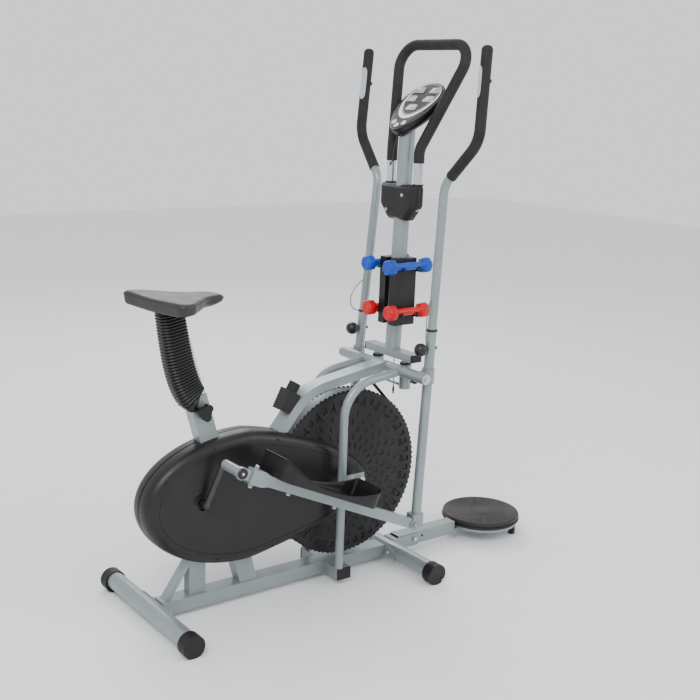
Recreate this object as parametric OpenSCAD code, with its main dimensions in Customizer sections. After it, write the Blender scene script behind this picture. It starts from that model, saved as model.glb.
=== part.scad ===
// Air-wheel elliptical trainer with a saddle, a dumbbell rack and a twist disc.
// +X points forward, +Y to the rider's left, +Z up. Lengths are in millimetres.
// The origin lies on the floor, at the middle of the machine's length and width.

/* [Base] */
// Distance between the axes of the two stabilizer tubes
wheelbase = 809; // [770:1:980]
// Length of each stabilizer over its end caps
stabilizer_span = 490; // [420:1:620]
// Outside diameter of the stabilizer tubes
stabilizer_dia = 50; // [42:1:56]
// Outside diameter of the round end caps
cap_dia = 63; // [60:0.2:76]
// Length of each round end cap
cap_len = 34; // [26:1:60]
// Width of the main rail, across the machine
rail_w = 50; // [40:1:60]
// Height of the main rail
rail_h = 36; // [30:1:40]
// Wall of the steel tubes
tube_wall = 2; // [1.5:0.1:3]

/* [Pedal drive] */
// Height of the crank axle above the floor
crank_height = 323; // [300:1:340]
// Distance from the rear stabilizer forward to the crank axle
crank_x = 136; // [120:1:160]
// Throw of the crank, axle to pedal pin
crank_throw = 124; // [100:1:135]
// Angle of the right crank above the forward direction, at rest
crank_angle = 72.2; // [50:0.1:90]
// Length of each pedal bar between its two pivots
bar_len = 651; // [640:1:670]
// Width of the pedal bar tube
bar_w = 25; // [20:1:30]
// Height of the pedal bar tube
bar_h = 30; // [24:1:36]
// Length of the foot tray
tray_len = 350; // [300:1:380]
// Width of the foot tray
tray_w = 132; // [110:1:150]
// Teeth on the chainring
ring_teeth = 40; // [36:4:44]
// Teeth on the air wheel's sprocket
sprocket_teeth = 16; // [12:4:20]

/* [Air wheel] */
// Outside radius of the air wheel
wheel_r = 250; // [200:1:254]
// Thickness of the air wheel over its covers
wheel_t = 58; // [46:1:60]
// Distance from the air wheel's axle forward to the front stabilizer
wheel_back = 181; // [175:1:230]
// Height of the air wheel's axle
wheel_height = 316.5; // [310:0.5:330]

/* [Arms and mast] */
// Height of the arm pivot above the floor
pivot_height = 620.5; // [612:0.5:720]
// Distance from the arm pivot forward to the front stabilizer
pivot_back = 44; // [30:1:60]
// Distance from the arm pivot down to the pedal bar pivot
arm_drop = 445.5; // [435:0.5:455]
// Distance from the middle plane to each arm's axis
arm_y = 165; // [150:1:180]
// Outside diameter of the lower arm tube
arm_dia = 28.6; // [25.4:0.1:32]
// Outside diameter of the handle tubes
handle_dia = 25.4; // [22:0.1:28]
// Height of the top of the swinging handles above the arm pivot
handle_rise = 917; // [800:1:960]
// Distance from the middle plane to each swinging handle's grip
grip_y = 281; // [240:1:300]
// Outside diameter of the mast
mast_dia = 46; // [40:1:52]
// Height of the mast's top above its foot
mast_len = 632; // [600:1:680]
// Height of the fixed handle loop above the clamp housing's top
loop_rise = 393; // [340:1:420]
// Outside diameter of the foam grips
foam_dia = 31; // [28:0.5:36]

/* [Saddle] */
// Saddle length, front to rear
saddle_len = 222; // [190:1:280]
// Saddle width at the rear
saddle_w = 262; // [220:1:290]
// Saddle thickness
saddle_t = 46; // [36:1:60]
// Height of the saddle's top above the seat tube's top
saddle_rise = 273; // [250:1:300]
// Turn of the saddle on its post, nose towards the left
saddle_turn = 9; // [0:1:12]
// Depth of the seat tube, front to rear
seat_tube_d = 54; // [44:1:56]
// Width of the seat tube, across the machine
seat_tube_w = 40; // [30:1:44]

/* [Twist disc] */
// Radius of the twist disc's lower ring
disc_r = 127.4; // [110:0.1:150]
// Distance from the front stabilizer forward to the twist disc's axis
disc_reach = 399; // [370:1:440]
// Height of the twist disc's top
disc_top = 74; // [70:0.5:90]

/* [Hidden] */
$fn = 64;

// Colours
frame_grey = [0.58, 0.64, 0.65];
black = [0.11, 0.11, 0.12];
steel = [0.75, 0.76, 0.78];
dark_steel = [0.25, 0.25, 0.27];

// Gap between pieces that only stand beside each other
seat_gap = 0.1;
// Radial gap of a shaft that turns in its hole
run_gap = 0.05;
// Gap between pieces of two bodies that pass each other
pass_gap = 0.5;
// How far a cutting solid runs past the face it cuts
past = 1;

// Base
cap_flat = 0.6;
axis_z = 34.8;
cap_mid_z = cap_dia/2 - cap_flat;
stab_r = stabilizer_dia/2;
rail_top = axis_z + rail_h/2;
saddle_t_plate = 3;
saddle_half = 70;
outrigger_x = wheelbase - 232;
outrigger_w = 45;
outrigger_h = 34;
side_y = 85;
side_dia = 25;
side_x = wheelbase - 244;
foot_half = side_y + side_dia/2 - 5.5;
foot_cap_t = 5;
post_d = 50;
post_w = 30;
bb_r = 28.5;
bb_bore = 25.7;
bb_half = 31;

// Pedal drive
pitch = 12.7;
ring_r = ring_teeth*pitch/360*180/PI;
sprocket_r = sprocket_teeth*pitch/360*180/PI;
tooth_rise = 1.2;
chain_gap = 0.6;
chain_t = 3.5;
chain_y = 36.5;
chain_half = 3;
axle_r = 11;
crank_r = 8.5;
crank_root_y = 62;
crank_tip_y = 84;
pin_r = 7.5;
pin_end = 93;
sleeve_r = 14;
sleeve_in = pin_end + 1.5;
pivot_x = wheelbase - pivot_back;
pivot = [pivot_x, pivot_height];
crank_centre = [crank_x, crank_height];
function polar(r, a) = [r*cos(a), r*sin(a)];
function heading(v) = atan2(v[1], v[0]);
right_pin = crank_centre + polar(crank_throw, crank_angle);
left_pin = crank_centre - polar(crank_throw, crank_angle);
// Direction of an arm's lower end from the pivot, for a bar that reaches a given pin
function arm_heading(pin) = let (v = pin - pivot, d = norm(v))
    heading(v) + 360 + acos((d*d + arm_drop*arm_drop - bar_len*bar_len)/(2*d*arm_drop));
right_arm_turn = 270 - arm_heading(right_pin);
left_arm_turn = 270 - arm_heading(left_pin);
right_knee = pivot + polar(arm_drop, arm_heading(right_pin));
left_knee = pivot + polar(arm_drop, arm_heading(left_pin));
right_bar_turn = -heading(right_knee - right_pin);
left_bar_turn = -heading(left_knee - left_pin);
ear_t = 3;
ear_r = 17;
knee_bolt_r = 5;
tray_in = side_y + side_dia/2 + 4.5;
tray_start = 95;
tray_floor = 4;
tray_wall = 4;
tray_low = 12;
tray_high = 58;

// Seat
seat_tilt = 16.5;
seat_foot_x = crank_x + 161.5;
seat_tube_len = 585;
seat_dir = [-sin(seat_tilt), 0, cos(seat_tilt)];
seat_foot = [seat_foot_x, 0, rail_top];
seat_top = seat_foot + seat_tube_len*seat_dir;
saddle_top = seat_top[2] + saddle_rise;
saddle_base = saddle_top - saddle_t;
post_fit = 0.3;
post_in = 220;
post_out = (saddle_base - seat_top[2])/cos(seat_tilt);
saddle_at = seat_top[0] - tan(seat_tilt)*(saddle_base - seat_top[2]);
boot_lap = 3;
boot_wall = 4;
seat_knob_down = 42;

// Air wheel
wheel_x = wheelbase - wheel_back;
rim_r = wheel_r - 3;
rim_half = 20;
hub_r = 24;
wheel_axle_r = 6;
wheel_axle_half = 96;

// Arch over the wheel: a rectangular tube with one bend
arch_w = 50;
arch_h = 27;
arch_bend = 160;
arch_low = [wheel_x - 366, 0, wheel_height - 14.1];
arch_knee = [wheel_x - 146, 0, wheel_height + 261.5];
arch_end = [pivot_x, 0, pivot_height + 4];

// Arm pivot and mast foot
cross_r = 16;
cross_half = 97;
shaft_r = 11;
shaft_half = 198;
socket_x = pivot_x + 34;
socket_y = 65;
socket_r = 17;
socket_bore = 14.4;
socket_low = pivot_height - 61;
socket_top = pivot_height + 12;
prong_r = 12;
collar_t = 5;
bar_low = pivot_height + 25.5;
bar_high = pivot_height + 47.5;
bar_half = 106;
crossbar_d = 38;
mast_lean = 1.63;
mast_foot = [pivot_x + 36, 0, bar_high];
function mast_x(z) = mast_foot[0] + (z - mast_foot[2])*tan(mast_lean);
housing_low = pivot_height + 430;
housing_top = pivot_height + 532;
leg_y = 61;
leg_x = mast_x(housing_top) + 1;
loop_top = housing_top + loop_rise;
loop_wide = 163;
loop_fore = 98;
leg_rise = 101;

// Console
console_tilt = 41.4;
console_len = 101;
console_w = 75.5;
egg = 0.31;
console_t = 34;
console_at = [mast_x(pivot_height + 751.5) + 20, 0, pivot_height + 751.5];
face_t = 3;
case_wall = 2.5;
windows = [[66, 33], [66, -33], [29, 37], [29, -37], [-7, 4]];
window_size = [18, 34];

// Arms
arm_off = 36;
arm_lean = 2.9;
arm_wall = 1.5;
arm_collar = 130;
handle_low = 90;
bend_one = 542;
bend_two = 666;
knob_rise = 79;
knob_ball = 19;
knob_stem = 5;
grip_start = 8;

// Dumbbells, which hang on both sides of the mast
rack_low = pivot_height + 123.5;
rack_top = pivot_height + 320.5;
rack_rear = mast_foot[0] - 31;
rack_front = mast_foot[0] + 44;
rack_y = 38;
blue_z = pivot_height + 299.5;
red_z = pivot_height + 166;
bell_y = 50;
bell_head = 32;
bell_r = 22.5;
bell_grip = 11;
bell_mid = mast_foot[0] + 1;

// Twist disc
disc_x = wheelbase + disc_reach;
pan_top = disc_top - 28;
pan_t = 8;
ext_size = 40;
ext_mid = disc_top - 28.5;
origin_x = (disc_x + disc_r - cap_dia/2)/2;

// Routes of the cords, in the finished machine's frame
right_wire = [[151, -165, 846], [146, -165, 841], [141, -165, 832], [137, -165, 819],
    [135, -165, 804], [134, -165, 788], [133, -165, 772], [133, -165, 756], [133, -165, 740],
    [134, -165, 725], [136, -165, 713], [141, -165, 706]];
left_wire = [[158, 165, 848], [151, 165, 845], [141, 165, 838], [130, 165, 828],
    [120, 165, 816], [112, 165, 802], [109, 165, 787], [112, 165, 773], [120, 165, 762],
    [133, 165, 755], [150, 165, 752]];
console_wire = [[145, 10, 1297], [142, 13, 1287], [140, 16, 1275], [137, 17, 1262],
    [135, 18, 1249], [134, 19, 1236], [134, 21, 1223], [135, 26, 1212], [138, 34, 1205],
    [142, 42, 1203], [146, 48, 1206], [153, 54, 1211]];
sensor_wire = [[156, 0, 647], [156, 0, 638], [156, 0, 629], [156, 0, 620], [156, 0, 611],
    [156, 0, 602], [157, 0, 593], [157, 0, 584], [157, 0, 575], [158, 0, 566], [158, 0, 558],
    [158, 0, 550]];
wire_r = 1.5;

// ---- Shared shapes ----

module place() translate([-origin_x, 0, 0]) children();

function unit(v) = v/norm(v);
function turn_between(u, v) = acos(max(-1, min(1, u*v)));
// A direction square to u: across the machine where it can be
function square_to(u) = abs(u[1]) < 0.01 ? [0, 1, 0] : unit(cross(u, [0, 0, 1]));

module on_axes(x, y, z, at)
    multmatrix([[x[0], y[0], z[0], at[0]], [x[1], y[1], z[1], at[1]],
        [x[2], y[2], z[2], at[2]], [0, 0, 0, 1]]) children();

module ring2d(outer, inner) difference() {
    circle(r = outer);
    if (inner > 0) circle(r = inner);
}

// How far a straight stretch runs into its elbow, and how far an elbow's skin lies inside it
lap = 0.3;
slim = 0.02;

// The first child carried along the straight stretches of a path, the second round its bends
module carried(pts, radii) {
    last = len(pts) - 1;
    dirs = [for (i = [0:last - 1]) unit(pts[i + 1] - pts[i])];
    cut = [for (i = [0:last]) i == 0 || i == last ? 0
        : radii[i - 1]*tan(turn_between(dirs[i - 1], dirs[i])/2) - lap];
    for (i = [0:last - 1]) {
        u = dirs[i];
        n = square_to(u);
        on_axes(cross(n, u), n, u, pts[i] + cut[i]*u)
            linear_extrude(norm(pts[i + 1] - pts[i]) - cut[i] - cut[i + 1]) children(0);
    }
    for (i = [1:1:last - 1]) {
        u = dirs[i - 1];
        n = unit(cross(u, dirs[i]));
        out = cross(u, n);
        on_axes(out, u, n, pts[i] - (cut[i] + lap)*u - radii[i - 1]*out)
            rotate_extrude(angle = turn_between(u, dirs[i])) translate([radii[i - 1], 0])
                children(1);
    }
}

// A round bar or tube along a bent path
module bent_tube(pts, radii, outer, inner = 0) carried(pts, radii) {
    ring2d(outer, inner);
    ring2d(outer - slim, inner > 0 ? inner + slim : 0);
}

module frame2d(a, b, wall) difference() {
    square([a, b], center = true);
    square([a - 2*wall, b - 2*wall], center = true);
}

// A cylinder along Y between two heights y0 < y1
module across(x, z, y0, y1, r) translate([x, y0, z]) rotate([-90, 0, 0])
    cylinder(h = y1 - y0, r = r);

module both_sides() {
    children();
    mirror([0, 1, 0]) children();
}

module block(x0, x1, y0, y1, z0, z1) translate([x0, y0, z0]) cube([x1 - x0, y1 - y0, z1 - z0]);

// A wire along a route: one ring of eight points at each stop, joined into a closed skin
module wire(route, r, across_dir) {
    n = len(route);
    sides = 8;
    lean = [for (i = [0:n - 1]) unit(route[min(i + 1, n - 1)] - route[max(i - 1, 0)])];
    side = [for (i = [0:n - 1]) unit(cross(lean[i], across_dir))];
    rings = [for (i = [0:n - 1]) for (k = [0:sides - 1]) route[i]
        + r*cos(k*360/sides)*side[i] + r*sin(k*360/sides)*cross(lean[i], side[i])];
    walls = [for (i = [0:n - 2]) for (k = [0:sides - 1]) for (t = [0, 1])
        let (a = i*sides + k, b = i*sides + (k + 1)%sides)
            t == 0 ? [a, a + sides, b + sides] : [a, b + sides, b]];
    ends = [[for (k = [0:sides - 1]) k], [for (k = [sides - 1:-1:0]) (n - 1)*sides + k]];
    polyhedron(points = rings, faces = concat(walls, ends), convexity = 4);
}

// ---- Base ----

module saddle_plate(x, side) translate([x, 0, axis_z]) rotate([90, 0, 0])
    translate([0, 0, -saddle_half]) rotate([0, 0, side > 0 ? -55 : 125])
        rotate_extrude(angle = 110, $fn = 96) translate([stab_r + seat_gap, 0])
            square([saddle_t_plate, 2*saddle_half]);

module brace_2d() polygon([[crank_x - 103, rail_top - 6], [crank_x - 86, rail_top - 6],
    [crank_x - post_d/2 + 6, axis_z + 112], [crank_x - post_d/2 + 6, axis_z + 134]]);

module main_rail() color(frame_grey) place() {
    rail_in = stab_r + seat_gap + saddle_t_plate/2;
    difference() {
        union() {
            block(rail_in, wheelbase - rail_in, -rail_w/2, rail_w/2, axis_z - rail_h/2, rail_top);
            both_sides() block(outrigger_x - outrigger_w/2, outrigger_x + outrigger_w/2,
                0, foot_half, axis_z - outrigger_h/2, axis_z + outrigger_h/2);
            block(crank_x - post_d/2, crank_x + post_d/2, -post_w/2, post_w/2,
                rail_top - past, crank_height);
            across(crank_x, crank_height, -bb_half, bb_half, bb_r);
            translate([0, post_w/2 - 0.5, 0]) rotate([90, 0, 0])
                linear_extrude(post_w - 1) brace_2d();
        }
        block(stab_r + saddle_t_plate + 1, wheelbase - stab_r - saddle_t_plate - 1,
            tube_wall - rail_w/2, rail_w/2 - tube_wall, axis_z - rail_h/2 + tube_wall,
            rail_top - tube_wall);
        block(crank_x - post_d/2 + tube_wall, crank_x + post_d/2 - tube_wall,
            tube_wall - post_w/2, post_w/2 - tube_wall, rail_top, crank_height - bb_r);
        across(crank_x, crank_height, -bb_half - past, bb_half + past, bb_bore);
        across(0, axis_z, -rail_w, rail_w, stab_r + seat_gap);
        across(wheelbase, axis_z, -rail_w, rail_w, stab_r + seat_gap);
    }
    saddle_plate(0, 1);
    saddle_plate(wheelbase, -1);
}

module stabilizer_tube(x) difference() {
    half = stabilizer_span/2 - 4;
    across(x, axis_z, -half, half, stab_r);
    across(x, axis_z, -half - past, half + past, stab_r - tube_wall);
}

module rear_stabilizer() color(frame_grey) place() stabilizer_tube(0);

module front_stabilizer() color(frame_grey) place() {
    difference() {
        union() {
            across(wheelbase, axis_z, -stabilizer_span/2 + 4, stabilizer_span/2 - 4, stab_r);
            block(wheelbase + 10, wheelbase + 112, -ext_size/2 - 3, ext_size/2 + 3,
                ext_mid - ext_size/2 - 3, ext_mid + ext_size/2 - 5);
        }
        across(wheelbase, axis_z, -stabilizer_span, stabilizer_span, stab_r - tube_wall);
        block(wheelbase + stab_r + 2, wheelbase + 113, -ext_size/2 - seat_gap,
            ext_size/2 + seat_gap, ext_mid - ext_size/2 - seat_gap, ext_mid + ext_size);
        for (y = [-1, 1]) across(wheelbase + 96, ext_mid, y*24 - 3, y*24 + 3, 4.2);
    }
}

module round_cap(x, notch) {
    ribs = 36;
    outer = stabilizer_span/2;
    difference() {
        across(x, cap_mid_z, outer - cap_len, outer, cap_dia/2);
        across(x, axis_z, outer - cap_len - past, outer - 4, stab_r + seat_gap);
        for (k = [0:ribs - 1]) let (p = polar(cap_dia/2 + 0.6, k*360/ribs))
            across(x + p[0], cap_mid_z + p[1], outer - cap_len - past, outer - 6, 1.6, $fn = 6);
        translate([x, outer - cap_len/2, -10]) cube([cap_dia, cap_len + 2, 20], center = true);
        if (notch) {
            across(x + 12, cap_mid_z - 12, outer - 6, outer + past, 3, $fn = 16);
            block(x + 19, x + 27, outer - 12, outer + past, cap_mid_z - 26, cap_mid_z - 18);
        }
    }
}

module square_cap(x, y, z, w, h) both_sides()
    block(x - w/2, x + w/2, y, y + foot_cap_t, z - h/2, z + h/2);

module plastic_caps() color(black) place() {
    both_sides() {
        round_cap(0, false);
        round_cap(wheelbase, true);
    }
    square_cap(outrigger_x, foot_half, axis_z - 0.5, outrigger_w + 1, outrigger_h - 0.4);
    square_cap(mast_foot[0], bar_half, (bar_low + bar_high)/2, crossbar_d, bar_high - bar_low);
    both_sides() translate([socket_x, socket_y, socket_top]) difference() {
        cylinder(h = collar_t, r = socket_r);
        translate([0, 0, -past]) cylinder(h = collar_t + 2*past, r = prong_r + seat_gap);
    }
    both_sides() translate([disc_x + 75, 75, 0]) cylinder(h = pan_top - pan_t, r = 11);
}

module frame_screws() color(steel) place() {
    for (x = [stab_r + saddle_t_plate, wheelbase - stab_r - saddle_t_plate - 9])
        for (y = [-50, 50]) translate([x + 0.3, y, axis_z]) rotate([0, 90, 0])
            cylinder(h = 8, r = 7, $fn = 6);
    both_sides() {
        across(pivot_x, pivot_height, shaft_half, shaft_half + 2.5, shaft_r + 4);
        across(pivot_x, pivot_height, shaft_half + 2.5, shaft_half + 9, 7.5);
        across(wheel_x, wheel_height, wheel_axle_half, wheel_axle_half + 4, 10, $fn = 6);
        across(wheelbase + 96, ext_mid, ext_size/2 + 3.2, ext_size/2 + 9, 7);
    }
    for (p = [[-35, -28], [35, -75]])
        translate([leg_x - 37.1, p[0], housing_top + p[1]]) rotate([0, 90, 0])
            cylinder(h = 6, r = 5);
}

// ---- Seat ----

module along_seat_tube() translate(seat_foot) rotate([0, -seat_tilt, 0]) children();

module seat_tube_solid(grow) along_seat_tube()
    translate([0, 0, 0]) linear_extrude(seat_tube_len)
        square([seat_tube_d + 2*grow, seat_tube_w + 2*grow], center = true);

module seat_tube() color(frame_grey) place() difference() {
    along_seat_tube() translate([0, 0, -30]) linear_extrude(seat_tube_len + 30)
        frame2d(seat_tube_d, seat_tube_w, tube_wall);
    block(seat_foot_x - 100, seat_foot_x + 100, -50, 50, -60, rail_top);
    along_seat_tube() translate([0, -seat_tube_w/2, seat_tube_len - seat_knob_down])
        rotate([90, 0, 0]) cylinder(h = 8, r = 4 + 2*run_gap, center = true);
}

module seat_post() color(steel) place() along_seat_tube() difference() {
    d = seat_tube_d - 2*tube_wall - 2*post_fit;
    w = seat_tube_w - 2*tube_wall - 2*post_fit;
    translate([0, 0, seat_tube_len - post_in])
        linear_extrude(post_in + post_out + 30) frame2d(d, w, tube_wall);
    translate([0, 0, seat_tube_len]) rotate([0, seat_tilt, 0])
        translate([-150, -100, saddle_base - seat_top[2]]) cube([300, 200, 100]);
    for (k = [0:4]) translate([0, -w/2, seat_tube_len - seat_knob_down - 18*k])
        rotate([90, 0, 0]) cylinder(h = 8, r = 5, center = true);
}

module saddle() color([0.2, 0.19, 0.18]) place()
    translate([saddle_at, 0, saddle_base]) rotate([0, 0, saddle_turn])
        linear_extrude(saddle_t) hull() {
            for (y = [-1, 1]) translate([-16, y*(saddle_w/2 - 48)]) circle(r = 48);
            translate([saddle_len - 90, 0]) circle(r = 26);
        }

module seat_boot() color(black) place() difference() {
    along_seat_tube() translate([0, 0, seat_tube_len - boot_lap])
        linear_extrude(boot_lap + post_out + 30)
            frame2d(seat_tube_d + 2 + 2*boot_wall, seat_tube_w + 2 + 2*boot_wall, boot_wall);
    translate([seat_top[0] - 200, -100, saddle_base - seat_gap]) cube([400, 200, 100]);
}

module seat_knob() color(black) place() along_seat_tube()
    translate([0, -seat_tube_w/2, seat_tube_len - seat_knob_down]) rotate([90, 0, 0]) {
        translate([0, 0, 0.4 - tube_wall]) cylinder(h = 8, r = 4);
        translate([0, 0, 4]) cylinder(h = 10, r = 11);
        translate([0, 0, 10]) linear_extrude(17) {
            circle(r = 16);
            for (k = [0:2]) rotate(120*k + 30) translate([14, 0]) circle(r = 11);
        }
    }

// ---- Frame tubes round the wheel ----

module arch_path() carried([arch_low - 40*unit(arch_knee - arch_low), arch_knee, arch_end],
    [arch_bend]) {
        children(0);
        children(1);
    }

module arch_tube() color(frame_grey) place() difference() {
    arch_path() {
        frame2d(arch_h, arch_w, tube_wall);
        frame2d(arch_h - 2*slim, arch_w - 2*slim, tube_wall - 2*slim);
    }
    seat_tube_solid(seat_gap);
    across(pivot_x, pivot_height, -cross_half, cross_half, cross_r + seat_gap);
}

module side_tube() difference() {
    slope = 7.5;
    knee = [side_x, side_y, pivot_height - (pivot_x - side_x)*tan(slope)];
    union() {
        bent_tube([[side_x, side_y, axis_z + outrigger_h/2], knee,
            [pivot_x, side_y, pivot_height]], [105], side_dia/2, side_dia/2 - tube_wall);
        block(side_x + side_dia/2 - 1.5, wheel_x + 16, side_y - 2, side_y + 2,
            wheel_height - 16, wheel_height + 16);
    }
    across(pivot_x, pivot_height, 0, cross_half + past, cross_r + seat_gap);
    across(wheel_x, wheel_height, side_y - 5, side_y + 5, wheel_axle_r + seat_gap);
}

module side_tubes() color(frame_grey) place() both_sides() side_tube();

module cross_tube() color(frame_grey) place() difference() {
    union() {
        across(pivot_x, pivot_height, -cross_half, cross_half, cross_r);
        across(pivot_x, pivot_height, -shaft_half, shaft_half, shaft_r);
        both_sides() {
            translate([socket_x, socket_y, socket_low])
                cylinder(h = socket_top - socket_low, r = socket_r);
            block(pivot_x, socket_x, socket_y - 8, socket_y + 8, pivot_height - 12,
                pivot_height + 8);
        }
        across(socket_x, socket_low + 6, -socket_y, socket_y, 4);
    }
    both_sides() {
        translate([socket_x, socket_y, socket_low - past])
            cylinder(h = socket_top - socket_low + 2*past, r = socket_bore);
        translate([socket_x, socket_y, socket_low + 20]) rotate([0, 90, 0])
            cylinder(h = 50, r = 4 + run_gap);
    }
}

module mast_lock_knob() color(black) place()
    translate([socket_x + socket_bore - 1, -socket_y, socket_low + 20]) rotate([0, 90, 0]) {
        cylinder(h = 16, r = 4);
        translate([0, 0, 7]) cylinder(h = 10, r = 8);
        translate([0, 0, 25]) sphere(r = 13);
    }

module along_mast() translate(mast_foot) rotate([0, mast_lean, 0]) children();

module mast_solid(grow) along_mast() translate([0, 0, -10])
    cylinder(h = mast_len + 80, r = mast_dia/2 + grow);

module mast() color(frame_grey) place() difference() {
    union() {
        mast_solid(0);
        block(mast_foot[0] - crossbar_d/2, mast_foot[0] + crossbar_d/2, -bar_half, bar_half,
            bar_low, bar_high);
        both_sides() translate([socket_x, socket_y, socket_low + 40])
            cylinder(h = bar_low + 5 - socket_low - 40, r = prong_r);
    }
    along_mast() translate([0, 0, 2]) cylinder(h = mast_len + 90, r = mast_dia/2 - tube_wall);
    console_frame() translate([-300, -300, -console_t]) cube([600, 600, 400]);
}

// ---- Fixed handle loop and its clamp ----

module clamp_housing() color(black) place() difference() {
    rear = leg_x - 31;
    front = leg_x + 17;
    intersection() {
        translate([0, 0, housing_low]) linear_extrude(housing_top - housing_low)
            polygon([[rear, -45], [rear + 15, -78], [front - 10, -78], [front, -60],
                [front, 60], [front - 10, 78], [rear + 15, 78], [rear, 45]]);
        translate([rear - 1, 0, 0]) rotate([90, 0, 90]) linear_extrude(front - rear + 2)
            polygon([[-79, housing_top], [-79, housing_low + 42], [-42, housing_low],
                [42, housing_low], [79, housing_low + 42], [79, housing_top]]);
    }
    mast_solid(seat_gap);
    both_sides() loop_leg_space();
    translate([leg_x - 0.2, -100, housing_low - 1]) cube([0.4, 200, 200]);
}

module loop_leg_space() translate([leg_x, leg_y, housing_low + 28])
    cylinder(h = 200, r = handle_dia/2 + seat_gap);

loop_pts = [[leg_x, -leg_y, housing_low + 30], [leg_x, -leg_y, housing_top + leg_rise],
    [leg_x + loop_fore, -loop_wide, loop_top], [leg_x + loop_fore, loop_wide, loop_top],
    [leg_x, leg_y, housing_top + leg_rise], [leg_x, leg_y, housing_low + 30]];
loop_bends = [60, 56, 56, 60];

module handle_loop() color(steel) place()
    bent_tube(loop_pts, loop_bends, handle_dia/2, handle_dia/2 - tube_wall);

module loop_grip() color(black) place() {
    low = housing_top + 63;
    pts = [for (i = [0:5]) i == 0 || i == 5 ? [loop_pts[i][0], loop_pts[i][1], low]
        : loop_pts[i]];
    bent_tube(pts, loop_bends, foam_dia/2, handle_dia/2 + run_gap);
}

// ---- Console ----

module console_frame() translate(console_at) rotate([0, -console_tilt, 0]) children();

function egg_points(inset) = [for (k = [0:59]) let (t = k*6, a = console_len - inset,
    b = console_w - inset) [a*cos(t), b*sin(t)*(1 + egg*cos(t))]];

module console_case() color(black) place() console_frame() difference() {
    union() {
        translate([0, 0, -console_t + 10]) linear_extrude(console_t - face_t - 10)
            polygon(egg_points(0));
        translate([0, 0, -console_t + 4]) linear_extrude(6.01) polygon(egg_points(5));
        translate([0, 0, -console_t]) linear_extrude(4.01) polygon(egg_points(12));
    }
    translate([0, 0, -console_t + 12]) linear_extrude(console_t)
        polygon(egg_points(case_wall));
    translate([0, 0, -console_t + 3]) linear_extrude(10) polygon(egg_points(15));
}

module window_cuts(grow, z0, z1) for (w = windows)
    translate([w[0], w[1], z0]) linear_extrude(z1 - z0)
        polygon([[-window_size[0]/2 - grow, -window_size[1]/2 - grow - 4],
            [window_size[0]/2 + grow, -window_size[1]/2 - grow],
            [window_size[0]/2 + grow, window_size[1]/2 + grow - 4],
            [-window_size[0]/2 - grow, window_size[1]/2 + grow]]);

buttons = [[-69, 24], [-82, 2], [-71, -20]];
button_r = 5.5;

module console_face() color([0.25, 0.25, 0.27]) place() console_frame() difference() {
    translate([0, 0, -face_t]) linear_extrude(face_t) polygon(egg_points(0));
    window_cuts(0, -face_t - past, past);
    for (b = buttons) translate([b[0], b[1], -face_t - past])
        cylinder(h = face_t + 2*past, r = button_r + 0.4);
}

module console_display() color([0.55, 0.6, 0.45]) place() console_frame() {
    translate([0, 0, -13]) linear_extrude(2) polygon(egg_points(20));
    window_cuts(-0.3, -11.01, -1.2);
}

module button(i) translate([buttons[i][0], buttons[i][1], -face_t - 4])
    cylinder(h = face_t + 6, r = button_r);

module mode_button() color("white") place() console_frame() button(0);
module set_button() color("white") place() console_frame() button(1);
module reset_button() color("white") place() console_frame() button(2);

// ---- Dumbbells ----

module rack_hook(x, z) {
    low = z - bell_grip - 0.3;
    block(x - 3, x + 3, rack_y - 2, bell_y + bell_grip + 5, low - 5, low);
    block(x - 3, x + 3, bell_y + bell_grip + 1, bell_y + bell_grip + 5, low - 5, z - 2);
}

module dumbbell_rack() color(black) place() difference() {
    both_sides() {
        difference() {
            block(rack_rear, rack_front, 11, rack_y, rack_low, rack_top);
            block(rack_rear + 3, rack_front - 3, 0, rack_y - 3, rack_low + 4, rack_top - 4);
        }
        for (z = [blue_z, red_z]) for (x = [rack_rear + 9, rack_front - 9]) rack_hook(x, z);
    }
    mast_solid(seat_gap);
}

module dumbbell(side, z, mid, bell_len) translate([mid - bell_len/2, side*bell_y, z])
    rotate([0, 90, 0]) {
        cylinder(h = bell_len, r = bell_grip);
        for (x = [0, bell_len - bell_head]) translate([0, 0, x]) {
            cylinder(h = 4.01, r1 = bell_r - 5, r2 = bell_r);
            translate([0, 0, 4]) cylinder(h = bell_head - 8, r = bell_r);
            translate([0, 0, bell_head - 4.01]) cylinder(h = 4, r1 = bell_r, r2 = bell_r - 5);
        }
    }

module blue_dumbbell_right() color([0, 0.33, 0.75]) place() dumbbell(-1, blue_z, bell_mid, 160);
module blue_dumbbell_left() color([0, 0.33, 0.75]) place() dumbbell(1, blue_z, bell_mid, 160);
module red_dumbbell_right() color([0.85, 0.1, 0.12]) place() dumbbell(-1, red_z, bell_mid + 4, 150);
module red_dumbbell_left() color([0.85, 0.1, 0.12]) place() dumbbell(1, red_z, bell_mid + 4, 150);

// ---- Shroud ----

shroud_mid = crank_x + 149;
shroud_fore = wheel_x + 72 - shroud_mid;
shroud_aft = crank_x + 182;
shroud_high = 188.5;
shroud_z = crank_height - 10.5;
shroud_half = 50;
shroud_wall = 2.5;
// Outline of the shroud: an ellipse behind its highest point, a narrower tail in front
function shroud_point(t, inset) = let (c = cos(t), a = shroud_fore - inset,
    b = shroud_aft - inset, h = shroud_high - inset)
    c >= 0 ? [shroud_mid + a*pow(c, 1.74), shroud_z - 26*pow(c, 3.48) + h*sin(t)]
    : [shroud_mid - b*pow(-c, 0.95), shroud_z + 8*c*c + h*sin(t)];
function shroud_points(inset) = [for (k = [0:59]) shroud_point(6*k, inset)];
// Each layer: how far out it starts and ends from the seam, and how far it steps in
shroud_layers = [[0, 14, 0], [14, 23, 0.8], [23, 30, 2.2], [30, 36, 4.5], [36, 41, 8],
    [41, 45, 12.5], [45, 48, 17.5], [48, 50, 23]];

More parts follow.
